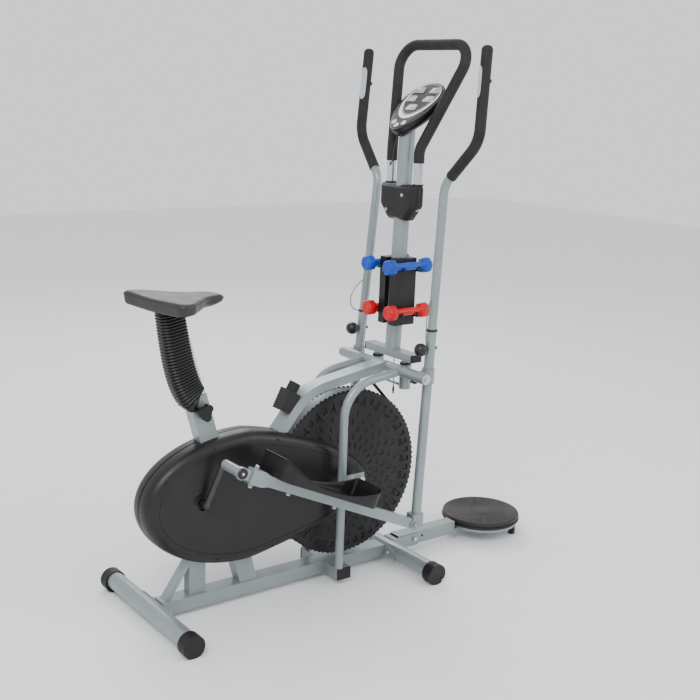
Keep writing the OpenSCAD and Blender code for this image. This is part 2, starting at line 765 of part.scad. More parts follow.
module shroud_slab(y0, y1, inset) translate([0, y1, 0]) rotate([90, 0, 0])
    linear_extrude(y1 - y0) polygon(shroud_points(inset));

module shroud_shell() difference() {
    union() for (l = shroud_layers) shroud_slab(l[0] - (l[0] > 0 ? 0.01 : 0), l[1], l[2]);
    for (l = shroud_layers) if (l[1] < shroud_half)
        shroud_slab(-past, l[1] - shroud_wall + 0.1, l[2] + shroud_wall);
    across(wheel_x, wheel_height, -past, wheel_t/2 + 2.5, wheel_r + 16);
    seat_tube_solid(1);
    arch_path() {
        square([arch_h + 3, arch_w + 3], center = true);
        square([arch_h + 2.9, arch_w + 2.9], center = true);
    }
    block(crank_x - post_d/2 - 30, crank_x + post_d/2 + 1, -past, 21, 0, crank_height - 60);
    across(crank_x, crank_height, 0, shroud_half + past, axle_r + 5);
    translate([0, chain_y + chain_half + 0.6, 0]) rotate([90, 0, 0])
        linear_extrude(2*chain_half + 1.2) polygon(chain_points(chain_gap + chain_t + 0.6));
    across(wheel_x, wheel_height, 0, shroud_half + past, wheel_axle_r + 4);
}

module right_shroud() color(black) place() mirror([0, 1, 0]) shroud_shell();
module left_shroud() color(black) place() shroud_shell();

// ---- Crank, chain and wheel ----

module tooth_wheel(r, teeth) polygon([for (k = [0:teeth - 1]) for (j = [0:3])
    let (q = j == 0 || j == 3 ? r - 3 : r + tooth_rise)
        polar(q, (k + [0.1, 0.35, 0.65, 0.9][j])*360/teeth)]);

module crank_side() {
    root = [crank_x, crank_root_y, crank_height];
    tip = [left_pin[0], crank_tip_y, left_pin[1]];
    union() {
        translate(root) sphere(r = crank_r + 1);
        translate(tip) sphere(r = crank_r + 1);
        bent_tube([root, tip], [], crank_r);
    }
    across(crank_x, crank_height, 0, crank_root_y, axle_r);
    across(left_pin[0], left_pin[1], crank_tip_y, pin_end, pin_r);
}

module crank() color(black) place() {
    crank_side();
    translate([crank_x, 0, crank_height]) rotate([0, 180, 0])
        translate([-crank_x, 0, -crank_height]) mirror([0, 1, 0]) crank_side();
}

module chainring() color(dark_steel) place()
    translate([crank_x, -chain_y + 1.5, crank_height]) rotate([90, 0, 0]) difference() {
        linear_extrude(3) tooth_wheel(ring_r, ring_teeth);
        translate([0, 0, -past]) cylinder(h = 5, r = axle_r + seat_gap);
        for (k = [0:4]) rotate([0, 0, 72*k]) translate([46, 0, -past]) cylinder(h = 5, r = 17);
    }

// A loop round the chainring and the sprocket, at a height above their tooth tips
function chain_points(rise) = let (a = [crank_x, crank_height], b = [wheel_x, wheel_height],
    ra = ring_r + tooth_rise + rise, rb = sprocket_r + tooth_rise + rise, v = b - a,
    base = heading(v), open = acos((ra - rb)/norm(v)))
    concat([for (k = [0:30]) a + polar(ra, base + open + k*(360 - 2*open)/30)],
        [for (k = [0:16]) b + polar(rb, base - open + k*2*open/16)]);

module chain() color(dark_steel) place() translate([0, -chain_y + chain_half, 0])
    rotate([90, 0, 0]) linear_extrude(2*chain_half) difference() {
        polygon(chain_points(chain_gap + chain_t));
        polygon(chain_points(chain_gap));
    }

module crank_bearings() color(steel) place() both_sides() difference() {
    across(crank_x, crank_height, bb_half - 12, bb_half, bb_bore - run_gap);
    across(crank_x, crank_height, 0, bb_half + past, axle_r + run_gap);
}

module air_wheel() color(frame_grey) place() translate([wheel_x, 0, wheel_height])
    rotate([90, 0, 0]) difference() {
        union() {
            difference() {
                translate([0, 0, -rim_half]) cylinder(h = 2*rim_half, r = rim_r, $fn = 128);
                translate([0, 0, -rim_half - past])
                    cylinder(h = 2*rim_half + 2*past, r = rim_r - 3, $fn = 128);
            }
            translate([0, 0, -1.5]) cylinder(h = 3, r = rim_r - 1, $fn = 128);
            translate([0, 0, -rim_half]) cylinder(h = 2*rim_half + 10, r = hub_r);
            cylinder(h = chain_y - 1.5, r = hub_r - 4);
            translate([0, 0, chain_y - 1.5]) linear_extrude(3)
                tooth_wheel(sprocket_r, sprocket_teeth);
            for (k = [0:11]) rotate([0, 0, 30*k]) translate([70, -1, -rim_half + 3])
                cube([rim_r - 90, 2, 2*rim_half - 6]);
        }
        translate([0, 0, -60]) cylinder(h = 120, r = wheel_axle_r + run_gap);
    }

module wheel_cover() rotate([90, 0, 0]) difference() {
    half = wheel_t/2;
    rotate_extrude($fn = 128) polygon([[hub_r + 4, half], [wheel_r - 12, half],
        [wheel_r - 3, half - 4], [wheel_r, half - 9], [wheel_r, rim_half + 0.2],
        [wheel_r - 2.5, rim_half + 0.2], [wheel_r - 2.5, half - 8], [wheel_r - 5, half - 5.5],
        [wheel_r - 13, half - 2.5], [hub_r + 4, half - 2.5]]);
    for (k = [0:35]) rotate([0, 0, 10*k]) translate([wheel_r - 34, -2, half - 4])
        cube([18, 4, 6]);
    for (k = [0:5]) for (j = [0:2]) rotate([0, 0, 60*k + 8*j])
        translate([0, 0, half - 4]) rotate_extrude(angle = 26, $fn = 96)
            translate([wheel_r - 66 - 22*j, 0]) square([5, 6]);
}

module wheel_covers() color(black) place() translate([wheel_x, 0, wheel_height]) {
    wheel_cover();
    mirror([0, 1, 0]) wheel_cover();
}

module wheel_axle() color(steel) place()
    across(wheel_x, wheel_height, -wheel_axle_half, wheel_axle_half, wheel_axle_r);

// ---- Brake strap ----

strap_r = rim_r + 0.5;
strap_t = 1.6;
strap_half = 12;
strap_anchor = [wheel_x + 87, wheel_height + 268];
strap_reach = norm(strap_anchor - [wheel_x, wheel_height]);
strap_front = heading(strap_anchor - [wheel_x, wheel_height]) - acos(strap_r/strap_reach);
strap_back = 160;

module tension_strap() color(black) place() {
    leg = sqrt(strap_reach*strap_reach - strap_r*strap_r);
    translate([wheel_x, 0, wheel_height]) rotate([90, 0, 0]) {
        rotate([0, 0, strap_back]) rotate_extrude(angle = 360 - strap_back + strap_front,
            $fn = 160) translate([strap_r + 0.03, -strap_half + 0.03])
                square([strap_t - 0.06, 2*strap_half - 0.06]);
        rotate([0, 0, strap_front]) translate([strap_r, -0.3, -strap_half])
            cube([strap_t, leg - 1, 2*strap_half]);
        rotate([0, 0, strap_back]) translate([strap_r, -62, -strap_half])
            cube([strap_t, 62.3, 2*strap_half]);
    }
}

arch_dir = unit(arch_knee - arch_low);
arch_nrm = [-arch_dir[2], 0, arch_dir[0]];
function arch_top_at(x) = let (p = arch_low + (arch_h/2 + 0.2)*arch_nrm)
    p[2] + (x - p[0])*arch_dir[2]/arch_dir[0];
box_rear = wheel_x - 236;
box_fore = wheel_x - 169;
box_top = [wheel_x - 208, wheel_height + 278];
box_axis = heading([box_fore, arch_top_at(box_fore)] - box_top) + 90;
knob_base = (box_top + [box_fore, arch_top_at(box_fore)])/2;

module tension_box() color(black) place() difference() {
    translate([0, 22, 0]) rotate([90, 0, 0]) linear_extrude(44)
        polygon([[box_rear, arch_top_at(box_rear + 30) + 14],
            [box_rear + 30, arch_top_at(box_rear + 30)],
            [box_fore, arch_top_at(box_fore)], box_top]);
    on_box_top() translate([0, 0, -20]) cylinder(h = 30, r = 6 + run_gap);
}

module on_box_top() translate([knob_base[0], 0, knob_base[1]])
    rotate([0, 90 - box_axis, 0]) children();

module tension_knob() color(black) place() on_box_top() {
    translate([0, 0, -15]) cylinder(h = 17, r = 6);
    translate([0, 0, pass_gap]) difference() {
        cylinder(h = 26, r = 17);
        for (k = [0:17]) rotate([0, 0, 20*k]) translate([18, 0, -past])
            cylinder(h = 28, r = 2, $fn = 8);
    }
}

// ---- Arms, drawn on the left side with the pivot at the origin ----

function arm_x(z) = arm_off + z*tan(arm_lean);
arm_top = [arm_x(arm_collar), arm_y, arm_collar];

module arm_body() difference() {
    foot = -arm_drop + 28.5;
    union() {
        across(0, 0, cross_half + 1.5, shaft_half - 0.5, cross_r);
        translate([arm_x(0), arm_y, -22]) cylinder(h = 44, r = arm_dia/2 + 4);
        block(0, arm_x(0), arm_y - 12, arm_y + 12, -18, 14);
        bent_tube([[arm_x(foot), arm_y, foot], arm_top], [], arm_dia/2);
        block(-8, 31, arm_y - 13 - ear_t, arm_y + 13 + ear_t, foot - 1, foot + ear_t - 1);
        for (y = [arm_y - 13 - ear_t, arm_y + 13]) {
            across(0, -arm_drop, y, y + ear_t, ear_r);
            block(-8, 30, y, y + ear_t, -arm_drop - 10, foot);
        }
        across(0, -arm_drop, arm_y - 13 - ear_t - 4, arm_y + 13 + ear_t + 5, knee_bolt_r);
        across(0, -arm_drop, arm_y + 13 + ear_t, arm_y + 13 + ear_t + 6, 9);
        across(0, -arm_drop, arm_y - 13 - ear_t - 5, arm_y - 13 - ear_t, 8.5, $fn = 6);
    }
    across(0, 0, 0, shaft_half + past, shaft_r + run_gap);
    bent_tube([[arm_x(60), arm_y, 60], [arm_x(arm_collar + 5), arm_y, arm_collar + 5]], [],
        arm_dia/2 - arm_wall);
    translate([0, arm_y, knob_rise]) rotate([0, 90, 0])
        cylinder(h = 90, r = knob_stem + 2*run_gap);
}

handle_pts = [[arm_x(handle_low), arm_y, handle_low], [arm_x(bend_one), arm_y, bend_one],
    [arm_x(bend_one) + 12, grip_y, bend_two], [arm_x(bend_one) + 24, grip_y, handle_rise - 4]];
handle_bends = [60, 90];

module handle_body() bent_tube(handle_pts, handle_bends, handle_dia/2,
    handle_dia/2 - arm_wall);

module grip_body() {
    dir = unit(handle_pts[2] - handle_pts[1]);
    start = handle_pts[1] + (handle_bends[0]*tan(turn_between(dir, [0, 0, 1])/2)
        + grip_start)*dir;
    top = handle_pts[3];
    up = unit(top - handle_pts[2]);
    bent_tube([start, handle_pts[2], top + up], [handle_bends[1]], foam_dia/2, handle_dia/2 + run_gap);
    bent_tube([top + 0.5*up, top + 4*up], [], foam_dia/2 - 0.3);
}

module knob_body() translate([0, arm_y, knob_rise]) {
    at = arm_x(knob_rise);
    translate([at - arm_dia/2 - knob_ball - 3, 0, 0]) rotate([0, 90, 0]) sphere(r = knob_ball);
    translate([at - arm_dia/2 - 14, 0, 0]) rotate([0, 90, 0])
        cylinder(h = arm_dia + 22, r = knob_stem);
    translate([at + arm_dia/2 + 0.6, 0, 0]) rotate([0, 90, 0]) cylinder(h = 6, r = 8);
}

// Pedal bar, with its front pivot at the origin and the pin end at -bar_len
module bar_body() {
    pin = -bar_len;
    difference() {
        union() {
            block(pin + 60, 0, arm_y - bar_w/2, arm_y + bar_w/2, -bar_h/2, bar_h/2);
            across(0, 0, arm_y - bar_w/2, arm_y + bar_w/2, bar_h/2);
            translate([0, arm_y + 15, 0]) rotate([90, 0, 0]) linear_extrude(30)
                polygon([[pin + 32, -21], [pin + 72, -21], [pin + 92, -bar_h/2],
                    [pin + 92, bar_h/2], [pin + 72, 21], [pin + 32, 21]]);
            block(pin, pin + 40, arm_y - 10, arm_y + 10, -sleeve_r, sleeve_r);
            across(pin, 0, sleeve_in, arm_y + 15, sleeve_r);
            across(pin, 0, arm_y + 6, arm_y + 15, sleeve_r + 3.5);
            translate([pin + 47, arm_y, -28]) cylinder(h = 56, r = 7);
        }
        across(0, 0, 0, 300, knee_bolt_r + run_gap);
        block(pin + 70, -30, arm_y - bar_w/2 + tube_wall, arm_y + bar_w/2 - tube_wall,
            -bar_h/2 + tube_wall, bar_h/2 - tube_wall);
        across(pin, 0, 0, arm_y + 9, pin_r + 1);
    }
    for (s = [tray_start + 80, tray_start + 250]) translate([s - bar_len, arm_y, -bar_h/2 - 5])
        cylinder(h = 5, r = 7);
}

module tray_body() {
    s0 = tray_start - bar_len;
    s1 = s0 + tray_len;
    low = bar_h/2;
    sag = tray_high - tray_low;
    round_r = (tray_len*tray_len/4 + sag*sag)/(2*sag);
    difference() {
        block(s0, s1, tray_in, tray_in + tray_w, low, low + tray_high);
        block(s0 + tray_wall, s1 - tray_wall, tray_in + tray_wall,
            tray_in + tray_w - tray_wall, low + tray_floor, low + tray_high + past);
        translate([0, 0, 0]) across((s0 + s1)/2, low + tray_low + round_r, 0, 400, round_r,
            $fn = 128);
        for (k = [0:6]) translate([s0 + 60 + 36*k, tray_in + tray_w - 24, low - past])
            cube([18, 10, tray_floor + 2*past]);
    }
}

module arm_place(side) translate([pivot_x, 0, pivot_height])
    rotate([0, side > 0 ? left_arm_turn : right_arm_turn, 0])
        mirror([0, side > 0 ? 0 : 1, 0]) children();

module bar_place(side) {
    knee = side > 0 ? left_knee : right_knee;
    translate([knee[0], 0, knee[1]]) rotate([0, side > 0 ? left_bar_turn : right_bar_turn, 0])
        mirror([0, side > 0 ? 0 : 1, 0]) children();
}

module right_arm() color(frame_grey) place() arm_place(-1) arm_body();
module left_arm() color(frame_grey) place() arm_place(1) arm_body();
module right_handle() color(frame_grey) place() arm_place(-1) handle_body();
module left_handle() color(frame_grey) place() arm_place(1) handle_body();
module right_grip() color(black) place() arm_place(-1) grip_body();
module left_grip() color(black) place() arm_place(1) grip_body();
module right_arm_knob() color(black) place() arm_place(-1) knob_body();
module left_arm_knob() color(black) place() arm_place(1) knob_body();
module right_pedal_bar() color(frame_grey) place() bar_place(-1) bar_body();
module left_pedal_bar() color(frame_grey) place() bar_place(1) bar_body();
module right_tray() color(black) place() bar_place(-1) tray_body();
module left_tray() color(black) place() bar_place(1) tray_body();

// ---- Twist disc ----

module extension_rail() color(frame_grey) place() difference() {
    end = disc_x - disc_r - 4;
    half = ext_size/2;
    union() {
        block(wheelbase + stab_r + 8, end, -half, half, ext_mid - half, ext_mid + half);
        block(end - past, disc_x + 90, -half, half, pan_top - pan_t - 12, pan_top - pan_t + past);
        translate([disc_x, 0, pan_top - pan_t]) cylinder(h = pan_t, r = disc_r - 9, $fn = 96);
    }
    block(wheelbase + stab_r, end - 4, tube_wall - half, half - tube_wall,
        ext_mid - half + tube_wall, ext_mid + half - tube_wall);
    across(wheelbase + 130, ext_mid + 2, -half - past, half + past, 4);
    translate([disc_x, 0, -past]) cylinder(h = 100, r = 5 + run_gap);
}

module twist_base() color(black) place() translate([disc_x, 0, pan_top]) {
    difference() {
        union() {
            cylinder(h = 5, r = disc_r - 4, $fn = 128);
            translate([0, 0, 4.9]) cylinder(h = 7.1, r = disc_r, $fn = 128);
        }
        translate([0, 0, 6]) cylinder(h = 10, r = disc_r - 14, $fn = 128);
        translate([0, 0, -past]) cylinder(h = 20, r = 5 + run_gap);
    }
}

module twist_disc() color([0.25, 0.22, 0.2]) place() translate([disc_x, 0, pan_top]) {
    translate([0, 0, 12.5]) cylinder(h = 9.5, r = disc_r - 2, $fn = 128);
    translate([0, 0, 21.9]) cylinder(h = 5.1, r = disc_r - 5.4, $fn = 128);
    for (j = [0:7]) translate([0, 0, 26.9]) difference() {
        cylinder(h = 1.1, r = disc_r - 8 - 11*j, $fn = 96);
        translate([0, 0, -past]) cylinder(h = 4, r = disc_r - 13 - 11*j, $fn = 96);
    }
    translate([0, 0, 6.5]) cylinder(h = 7, r = 30);
    translate([0, 0, -pan_t - 6]) cylinder(h = pan_t + 14, r = 5);
}

// ---- Cords ----

module right_pulse_wire() color([0.5, 0.5, 0.5]) wire(right_wire, wire_r, [0, 1, 0]);
module left_pulse_wire() color([0.5, 0.5, 0.5]) wire(left_wire, wire_r, [0, 1, 0]);
module console_cable() color(black) wire(console_wire, wire_r, [1, 0, 0]);
module sensor_cable() color(black) wire(sensor_wire, wire_r, [0, 1, 0]);

main_rail();
rear_stabilizer();
front_stabilizer();
plastic_caps();
seat_tube();
arch_tube();
side_tubes();
cross_tube();
mast();
mast_lock_knob();
clamp_housing();
handle_loop();
loop_grip();
console_case();
console_face();
console_display();
mode_button();
set_button();
reset_button();
dumbbell_rack();
blue_dumbbell_right();
blue_dumbbell_left();
red_dumbbell_right();
red_dumbbell_left();
right_shroud();
left_shroud();
frame_screws();
crank();
chainring();
chain();
crank_bearings();
air_wheel();
wheel_covers();
wheel_axle();
tension_strap();
tension_box();
tension_knob();
right_arm();
left_arm();
right_handle();
left_handle();
right_grip();
left_grip();
right_arm_knob();
left_arm_knob();
right_pedal_bar();
left_pedal_bar();
right_tray();
left_tray();
seat_post();
saddle();
seat_boot();
seat_knob();
extension_rail();
twist_base();
twist_disc();
right_pulse_wire();
left_pulse_wire();
console_cable();
sensor_cable();
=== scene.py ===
import math
import bmesh
import bpy
import numpy as np
from mathutils import Matrix


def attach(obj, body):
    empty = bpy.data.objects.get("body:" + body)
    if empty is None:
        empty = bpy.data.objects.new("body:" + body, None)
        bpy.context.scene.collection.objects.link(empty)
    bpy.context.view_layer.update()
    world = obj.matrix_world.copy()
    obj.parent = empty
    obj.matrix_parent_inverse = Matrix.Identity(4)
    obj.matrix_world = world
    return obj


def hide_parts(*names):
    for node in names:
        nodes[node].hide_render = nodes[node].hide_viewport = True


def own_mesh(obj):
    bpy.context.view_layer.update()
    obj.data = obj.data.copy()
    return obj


# Looks for the air-wheel elliptical trainer. Metres, +X forward, +Z up.
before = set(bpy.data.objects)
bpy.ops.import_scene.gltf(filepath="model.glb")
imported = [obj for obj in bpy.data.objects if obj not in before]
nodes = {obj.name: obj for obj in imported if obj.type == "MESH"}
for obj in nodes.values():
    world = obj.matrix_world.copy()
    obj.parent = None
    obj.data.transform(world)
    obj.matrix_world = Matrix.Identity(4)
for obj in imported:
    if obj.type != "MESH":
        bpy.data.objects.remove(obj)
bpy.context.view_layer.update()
print("frame loaded:", len(nodes), "nodes")


# Camera, light and floor

studio = {
    "eye": (-1.91095, -2.5089, 1.4155),
    "turn": 0.6483,          # away from +Y, towards +X
    "tip": -0.2299,
    "tilt": 0.0366,
    "lens": 57.466,
    "skyTone": (0.97, 0.98, 1.0, 1),
    "skyPower": 1.15,
}


def aimCamera():
    # forward from the two angles, then right and up turned about it by the tilt
    a, e, r = studio["turn"], studio["tip"], studio["tilt"]
    ahead = np.array([math.sin(a)*math.cos(e), math.cos(a)*math.cos(e), math.sin(e)])
    right = np.array([math.cos(a), -math.sin(a), 0])
    up = np.cross(right, ahead)
    x = math.cos(r)*right + math.sin(r)*up
    y = -math.sin(r)*right + math.cos(r)*up
    cam = bpy.data.objects.new("camera", bpy.data.cameras.new("camera"))
    cam.data.lens = studio["lens"]
    cam.data.sensor_width = 36
    cam.data.clip_end = 60
    m = Matrix.Identity(4)
    for row in range(3):
        m[row][0], m[row][1], m[row][2] = x[row], y[row], -ahead[row]
        m[row][3] = studio["eye"][row]
    cam.matrix_world = m
    bpy.context.scene.collection.objects.link(cam)
    bpy.context.scene.camera = cam


def addLamp(name, place, target, size, power):
    lamp = bpy.data.objects.new(name, bpy.data.lights.new(name, "AREA"))
    lamp.data.shape, lamp.data.size, lamp.data.energy = "DISK", size, power
    back = np.array(place, float) - np.array(target, float)
    back /= np.linalg.norm(back)
    side = np.cross([0, 0, 1], back)
    side /= np.linalg.norm(side)
    over = np.cross(back, side)
    m = Matrix.Identity(4)
    for row in range(3):
        m[row][0], m[row][1], m[row][2], m[row][3] = side[row], over[row], back[row], place[row]
    lamp.matrix_world = m
    bpy.context.scene.collection.objects.link(lamp)


aimCamera()
addLamp("keyLamp", (-2.6, -2.2, 3.6), (0, 0, 0.7), 2.2, 110)
addLamp("fillLamp", (2.6, -3.0, 2.4), (0.1, 0, 0.7), 2.6, 45)
addLamp("rearLamp", (1.2, 3.0, 3.2), (0, 0, 0.8), 2.4, 60)
sky = bpy.data.worlds.new("studioSky")
sky.use_nodes = True
sky.node_tree.nodes["Background"].inputs["Color"].default_value = studio["skyTone"]
sky.node_tree.nodes["Background"].inputs["Strength"].default_value = studio["skyPower"]
bpy.context.scene.world = sky
print("camera and lamps set")


# Finishes: a cloudy tone, a drifting roughness and a fine grain, all on Object coordinates

finishes = {
    # name: tone, tone spread, roughness low/high, metal, grain kind, grain scale, grain height (m);
    # coat is a clear layer and shine the strength of the plain reflection, where they aren't usual
    "framePaint": dict(tone=(0.235, 0.275, 0.28), spread=0.07, rough=(0.30, 0.42), metal=0.35,
                       grain="noise", scale=420, height=0.00006, coat=0.25),
    "wheelPaint": dict(tone=(0.20, 0.23, 0.24), spread=0.1, rough=(0.35, 0.5), metal=0.3,
                       grain="noise", scale=300, height=0.00006),
    "blackSteel": dict(tone=(0.022, 0.022, 0.024), spread=0.25, rough=(0.35, 0.5), metal=0.6,
                       grain="noise", scale=260, height=0.00005),
    "crankPaint": dict(tone=(0.018, 0.018, 0.019), spread=0.2, rough=(0.28, 0.42), metal=0.2,
                       grain="noise", scale=300, height=0.00004, coat=0.3),
    "brightChrome": dict(tone=(0.62, 0.66, 0.72), spread=0.05, rough=(0.08, 0.2), metal=1.0,
                         grain="noise", scale=80, height=0.00002),
    "zincSteel": dict(tone=(0.56, 0.55, 0.52), spread=0.12, rough=(0.28, 0.45), metal=0.95,
                      grain="noise", scale=240, height=0.00005),
    "blackPlastic": dict(tone=(0.0075, 0.007, 0.0075), spread=0.25, rough=(0.40, 0.54), metal=0, shine=0.35,
                         grain="noise", scale=900, height=0.00012),
    "shroudPlastic": dict(tone=(0.0068, 0.0062, 0.0066), spread=0.2, rough=(0.34, 0.44), metal=0, shine=0.4,
                          grain="voronoi", scale=620, height=0.00014),
    "glossPlastic": dict(tone=(0.007, 0.0068, 0.007), spread=0.15, rough=(0.24, 0.34), metal=0, shine=0.4,
                         grain="noise", scale=400, height=0.00003),
    "panelGrey": dict(tone=(0.030, 0.029, 0.031), spread=0.12, rough=(0.42, 0.52), metal=0, shine=0.25,
                      grain="noise", scale=600, height=0.00005),
    "knobPlastic": dict(tone=(0.008, 0.0078, 0.008), spread=0.2, rough=(0.3, 0.4), metal=0, shine=0.45,
                        grain="noise", scale=300, height=0.00005),
    "consoleSilver": dict(tone=(0.42, 0.44, 0.45), spread=0.06, rough=(0.3, 0.42), metal=0.55,
                          grain="noise", scale=700, height=0.00005),
    "displayGlass": dict(tone=(0.36, 0.38, 0.27), spread=0.12, rough=(0.12, 0.22), metal=0,
                         grain="wave", scale=260, height=0.00002, coat=0.8),
    "paleKey": dict(tone=(0.62, 0.63, 0.62), spread=0.05, rough=(0.35, 0.5), metal=0,
                    grain="noise", scale=500, height=0.00004),
    "gripFoam": dict(tone=(0.009, 0.0085, 0.0088), spread=0.35, rough=(0.6, 0.78), metal=0, shine=0.4,
                     grain="voronoi", scale=750, height=0.0004),
    "bootRubber": dict(tone=(0.006, 0.006, 0.0062), spread=0.25, rough=(0.28, 0.4), metal=0, shine=0.4,
                       grain="noise", scale=500, height=0.00008),
    "saddleVinyl": dict(tone=(0.013, 0.0115, 0.0105), spread=0.22, rough=(0.40, 0.52), metal=0, shine=0.55,
                        grain="voronoi", scale=520, height=0.0003),
    "strapWeb": dict(tone=(0.007, 0.007, 0.0075), spread=0.3, shine=0.3, rough=(0.7, 0.9), metal=0,
                     grain="wave", scale=420, height=0.0003),
    "blueVinyl": dict(tone=(0.0, 0.055, 0.40), spread=0.1, rough=(0.32, 0.44), metal=0, shine=0.35,
                      grain="noise", scale=160, height=0.0001),
    "redVinyl": dict(tone=(0.56, 0.0, 0.004), spread=0.1, rough=(0.32, 0.44), metal=0, shine=0.35,
                     grain="noise", scale=160, height=0.0001),
    "discPlastic": dict(tone=(0.017, 0.014, 0.0125), spread=0.2, shine=0.4, rough=(0.45, 0.6), metal=0,
                        grain="noise", scale=700, height=0.00015),
    "cableSheath": dict(tone=(0.02, 0.02, 0.021), spread=0.2, rough=(0.4, 0.5), metal=0,
                        grain="noise", scale=600, height=0.00005),
    "clearSheath": dict(tone=(0.10, 0.10, 0.10), spread=0.15, rough=(0.2, 0.3), metal=0,
                        grain="noise", scale=500, height=0.00004, coat=0.4),
    "whitePrint": dict(tone=(0.78, 0.79, 0.79), spread=0.03, rough=(0.35, 0.45), metal=0,
                       grain="noise", scale=500, height=0.00002),
    "floorPaper": dict(tone=(0.86, 0.865, 0.87), spread=0.01, rough=(0.75, 0.85), metal=0,
                       grain="noise", scale=60, height=0.00005),
}


def mixFinish(name):
    spec = finishes[name]
    mat = bpy.data.materials.new(name)
    mat.use_nodes = True
    tree = mat.node_tree
    shader = tree.nodes["Principled BSDF"]
    shader.inputs["Metallic"].default_value = spec["metal"]
    shader.inputs["Coat Weight"].default_value = spec.get("coat", 0)
    shader.inputs["Coat Roughness"].default_value = 0.15
    shader.inputs["Specular IOR Level"].default_value = spec.get("shine", 0.5)
    coords = tree.nodes.new("ShaderNodeTexCoord").outputs["Object"]

    def cloud(scale, detail):
        n = tree.nodes.new("ShaderNodeTexNoise")
        n.inputs["Scale"].default_value, n.inputs["Detail"].default_value = scale, detail
        tree.links.new(coords, n.inputs["Vector"])
        return n.outputs["Fac"]

    ramp = tree.nodes.new("ShaderNodeValToRGB")
    tone, spread = np.array(spec["tone"]), spec["spread"]
    for stop, share, at in ((0, 1 - spread, 0.32), (1, 1 + spread, 0.68)):
        ramp.color_ramp.elements[stop].position = at
        ramp.color_ramp.elements[stop].color = (*np.clip(tone*share, 0, 1), 1)
    tree.links.new(cloud(9, 5), ramp.inputs["Fac"])
    tree.links.new(ramp.outputs["Color"], shader.inputs["Base Color"])
    drift = tree.nodes.new("ShaderNodeMapRange")
    drift.inputs["From Min"].default_value, drift.inputs["From Max"].default_value = 0.3, 0.7
    drift.inputs["To Min"].default_value, drift.inputs["To Max"].default_value = spec["rough"]
    tree.links.new(cloud(23, 6), drift.inputs["Value"])
    tree.links.new(drift.outputs["Result"], shader.inputs["Roughness"])
    if spec["grain"] == "noise":
        grain = cloud(spec["scale"], 3)
    elif spec["grain"] == "voronoi":
        cells = tree.nodes.new("ShaderNodeTexVoronoi")
        cells.inputs["Scale"].default_value = spec["scale"]
        tree.links.new(coords, cells.inputs["Vector"])
        grain = cells.outputs["Distance"]
    else:
        wave = tree.nodes.new("ShaderNodeTexWave")
        wave.inputs["Scale"].default_value = spec["scale"]
        wave.inputs["Distortion"].default_value = 0.6
        tree.links.new(coords, wave.inputs["Vector"])
        grain = wave.outputs["Fac"]
    bump = tree.nodes.new("ShaderNodeBump")
    bump.inputs["Strength"].default_value = 0.6
    bump.inputs["Distance"].default_value = spec["height"]
    tree.links.new(grain, bump.inputs["Height"])
    tree.links.new(bump.outputs["Normal"], shader.inputs["Normal"])
    return mat


mats = {name: mixFinish(name) for name in finishes}

nodeFinish = {
    "framePaint": ["main_rail", "rear_stabilizer", "front_stabilizer", "seat_tube", "arch_tube",
                   "side_tubes", "cross_tube", "mast", "right_arm", "left_arm", "right_handle",
                   "left_handle", "right_pedal_bar", "left_pedal_bar", "extension_rail"],
    "wheelPaint": ["air_wheel"],
    "blackSteel": ["chainring", "chain"],
    "crankPaint": ["crank"],
    "brightChrome": ["handle_loop", "seat_post"],
    "zincSteel": ["frame_screws", "crank_bearings", "wheel_axle"],
    "blackPlastic": ["plastic_caps", "mast_lock_knob", "clamp_housing", "console_case",
                     "dumbbell_rack", "tension_box", "tension_knob", "right_arm_knob",
                     "left_arm_knob", "right_tray", "left_tray", "seat_knob", "twist_base",
                     "wheel_covers"],
    "shroudPlastic": ["right_shroud", "left_shroud"],
    "consoleSilver": ["console_face"],
    "displayGlass": ["console_display"],
    "paleKey": ["mode_button", "set_button", "reset_button"],
    "gripFoam": ["loop_grip", "right_grip", "left_grip"],
    "bootRubber": ["seat_boot"],
    "saddleVinyl": ["saddle"],
    "strapWeb": ["tension_strap"],
    "blueVinyl": ["blue_dumbbell_right", "blue_dumbbell_left"],
    "redVinyl": ["red_dumbbell_right", "red_dumbbell_left"],
    "discPlastic": ["twist_disc"],
    "cableSheath": ["right_pulse_wire", "left_pulse_wire", "console_cable", "sensor_cable"],
}
for finish, names in nodeFinish.items():
    for n in names:
        nodes[n].data.materials.clear()
        nodes[n].data.materials.append(mats[finish])
print("finishes on every node")


# Skins: a grid of points, (rows, columns, 3), becomes vertices and quads

def skinOf(grid, loopU=False, loopV=True, capStart=True, capEnd=True):
    # each quad joins two rows and two columns; a cap is one face over the first or last row
    rows, cols = grid.shape[:2]
    index = np.arange(rows*cols).reshape(rows, cols)
    low, high = (index, np.roll(index, -1, 0)) if loopU else (index[:-1], index[1:])
    if loopV:
        quads = np.stack([low, high, np.roll(high, -1, 1), np.roll(low, -1, 1)], -1)
    else:
        quads = np.stack([low[:, :-1], high[:, :-1], high[:, 1:], low[:, 1:]], -1)
    faces = quads.reshape(-1, 4).tolist()
    if capStart and loopV and not loopU:
        faces.append(index[0].tolist())
    if capEnd and loopV and not loopU:
        faces.append(index[-1][::-1].tolist())
    return grid.reshape(-1, 3), faces


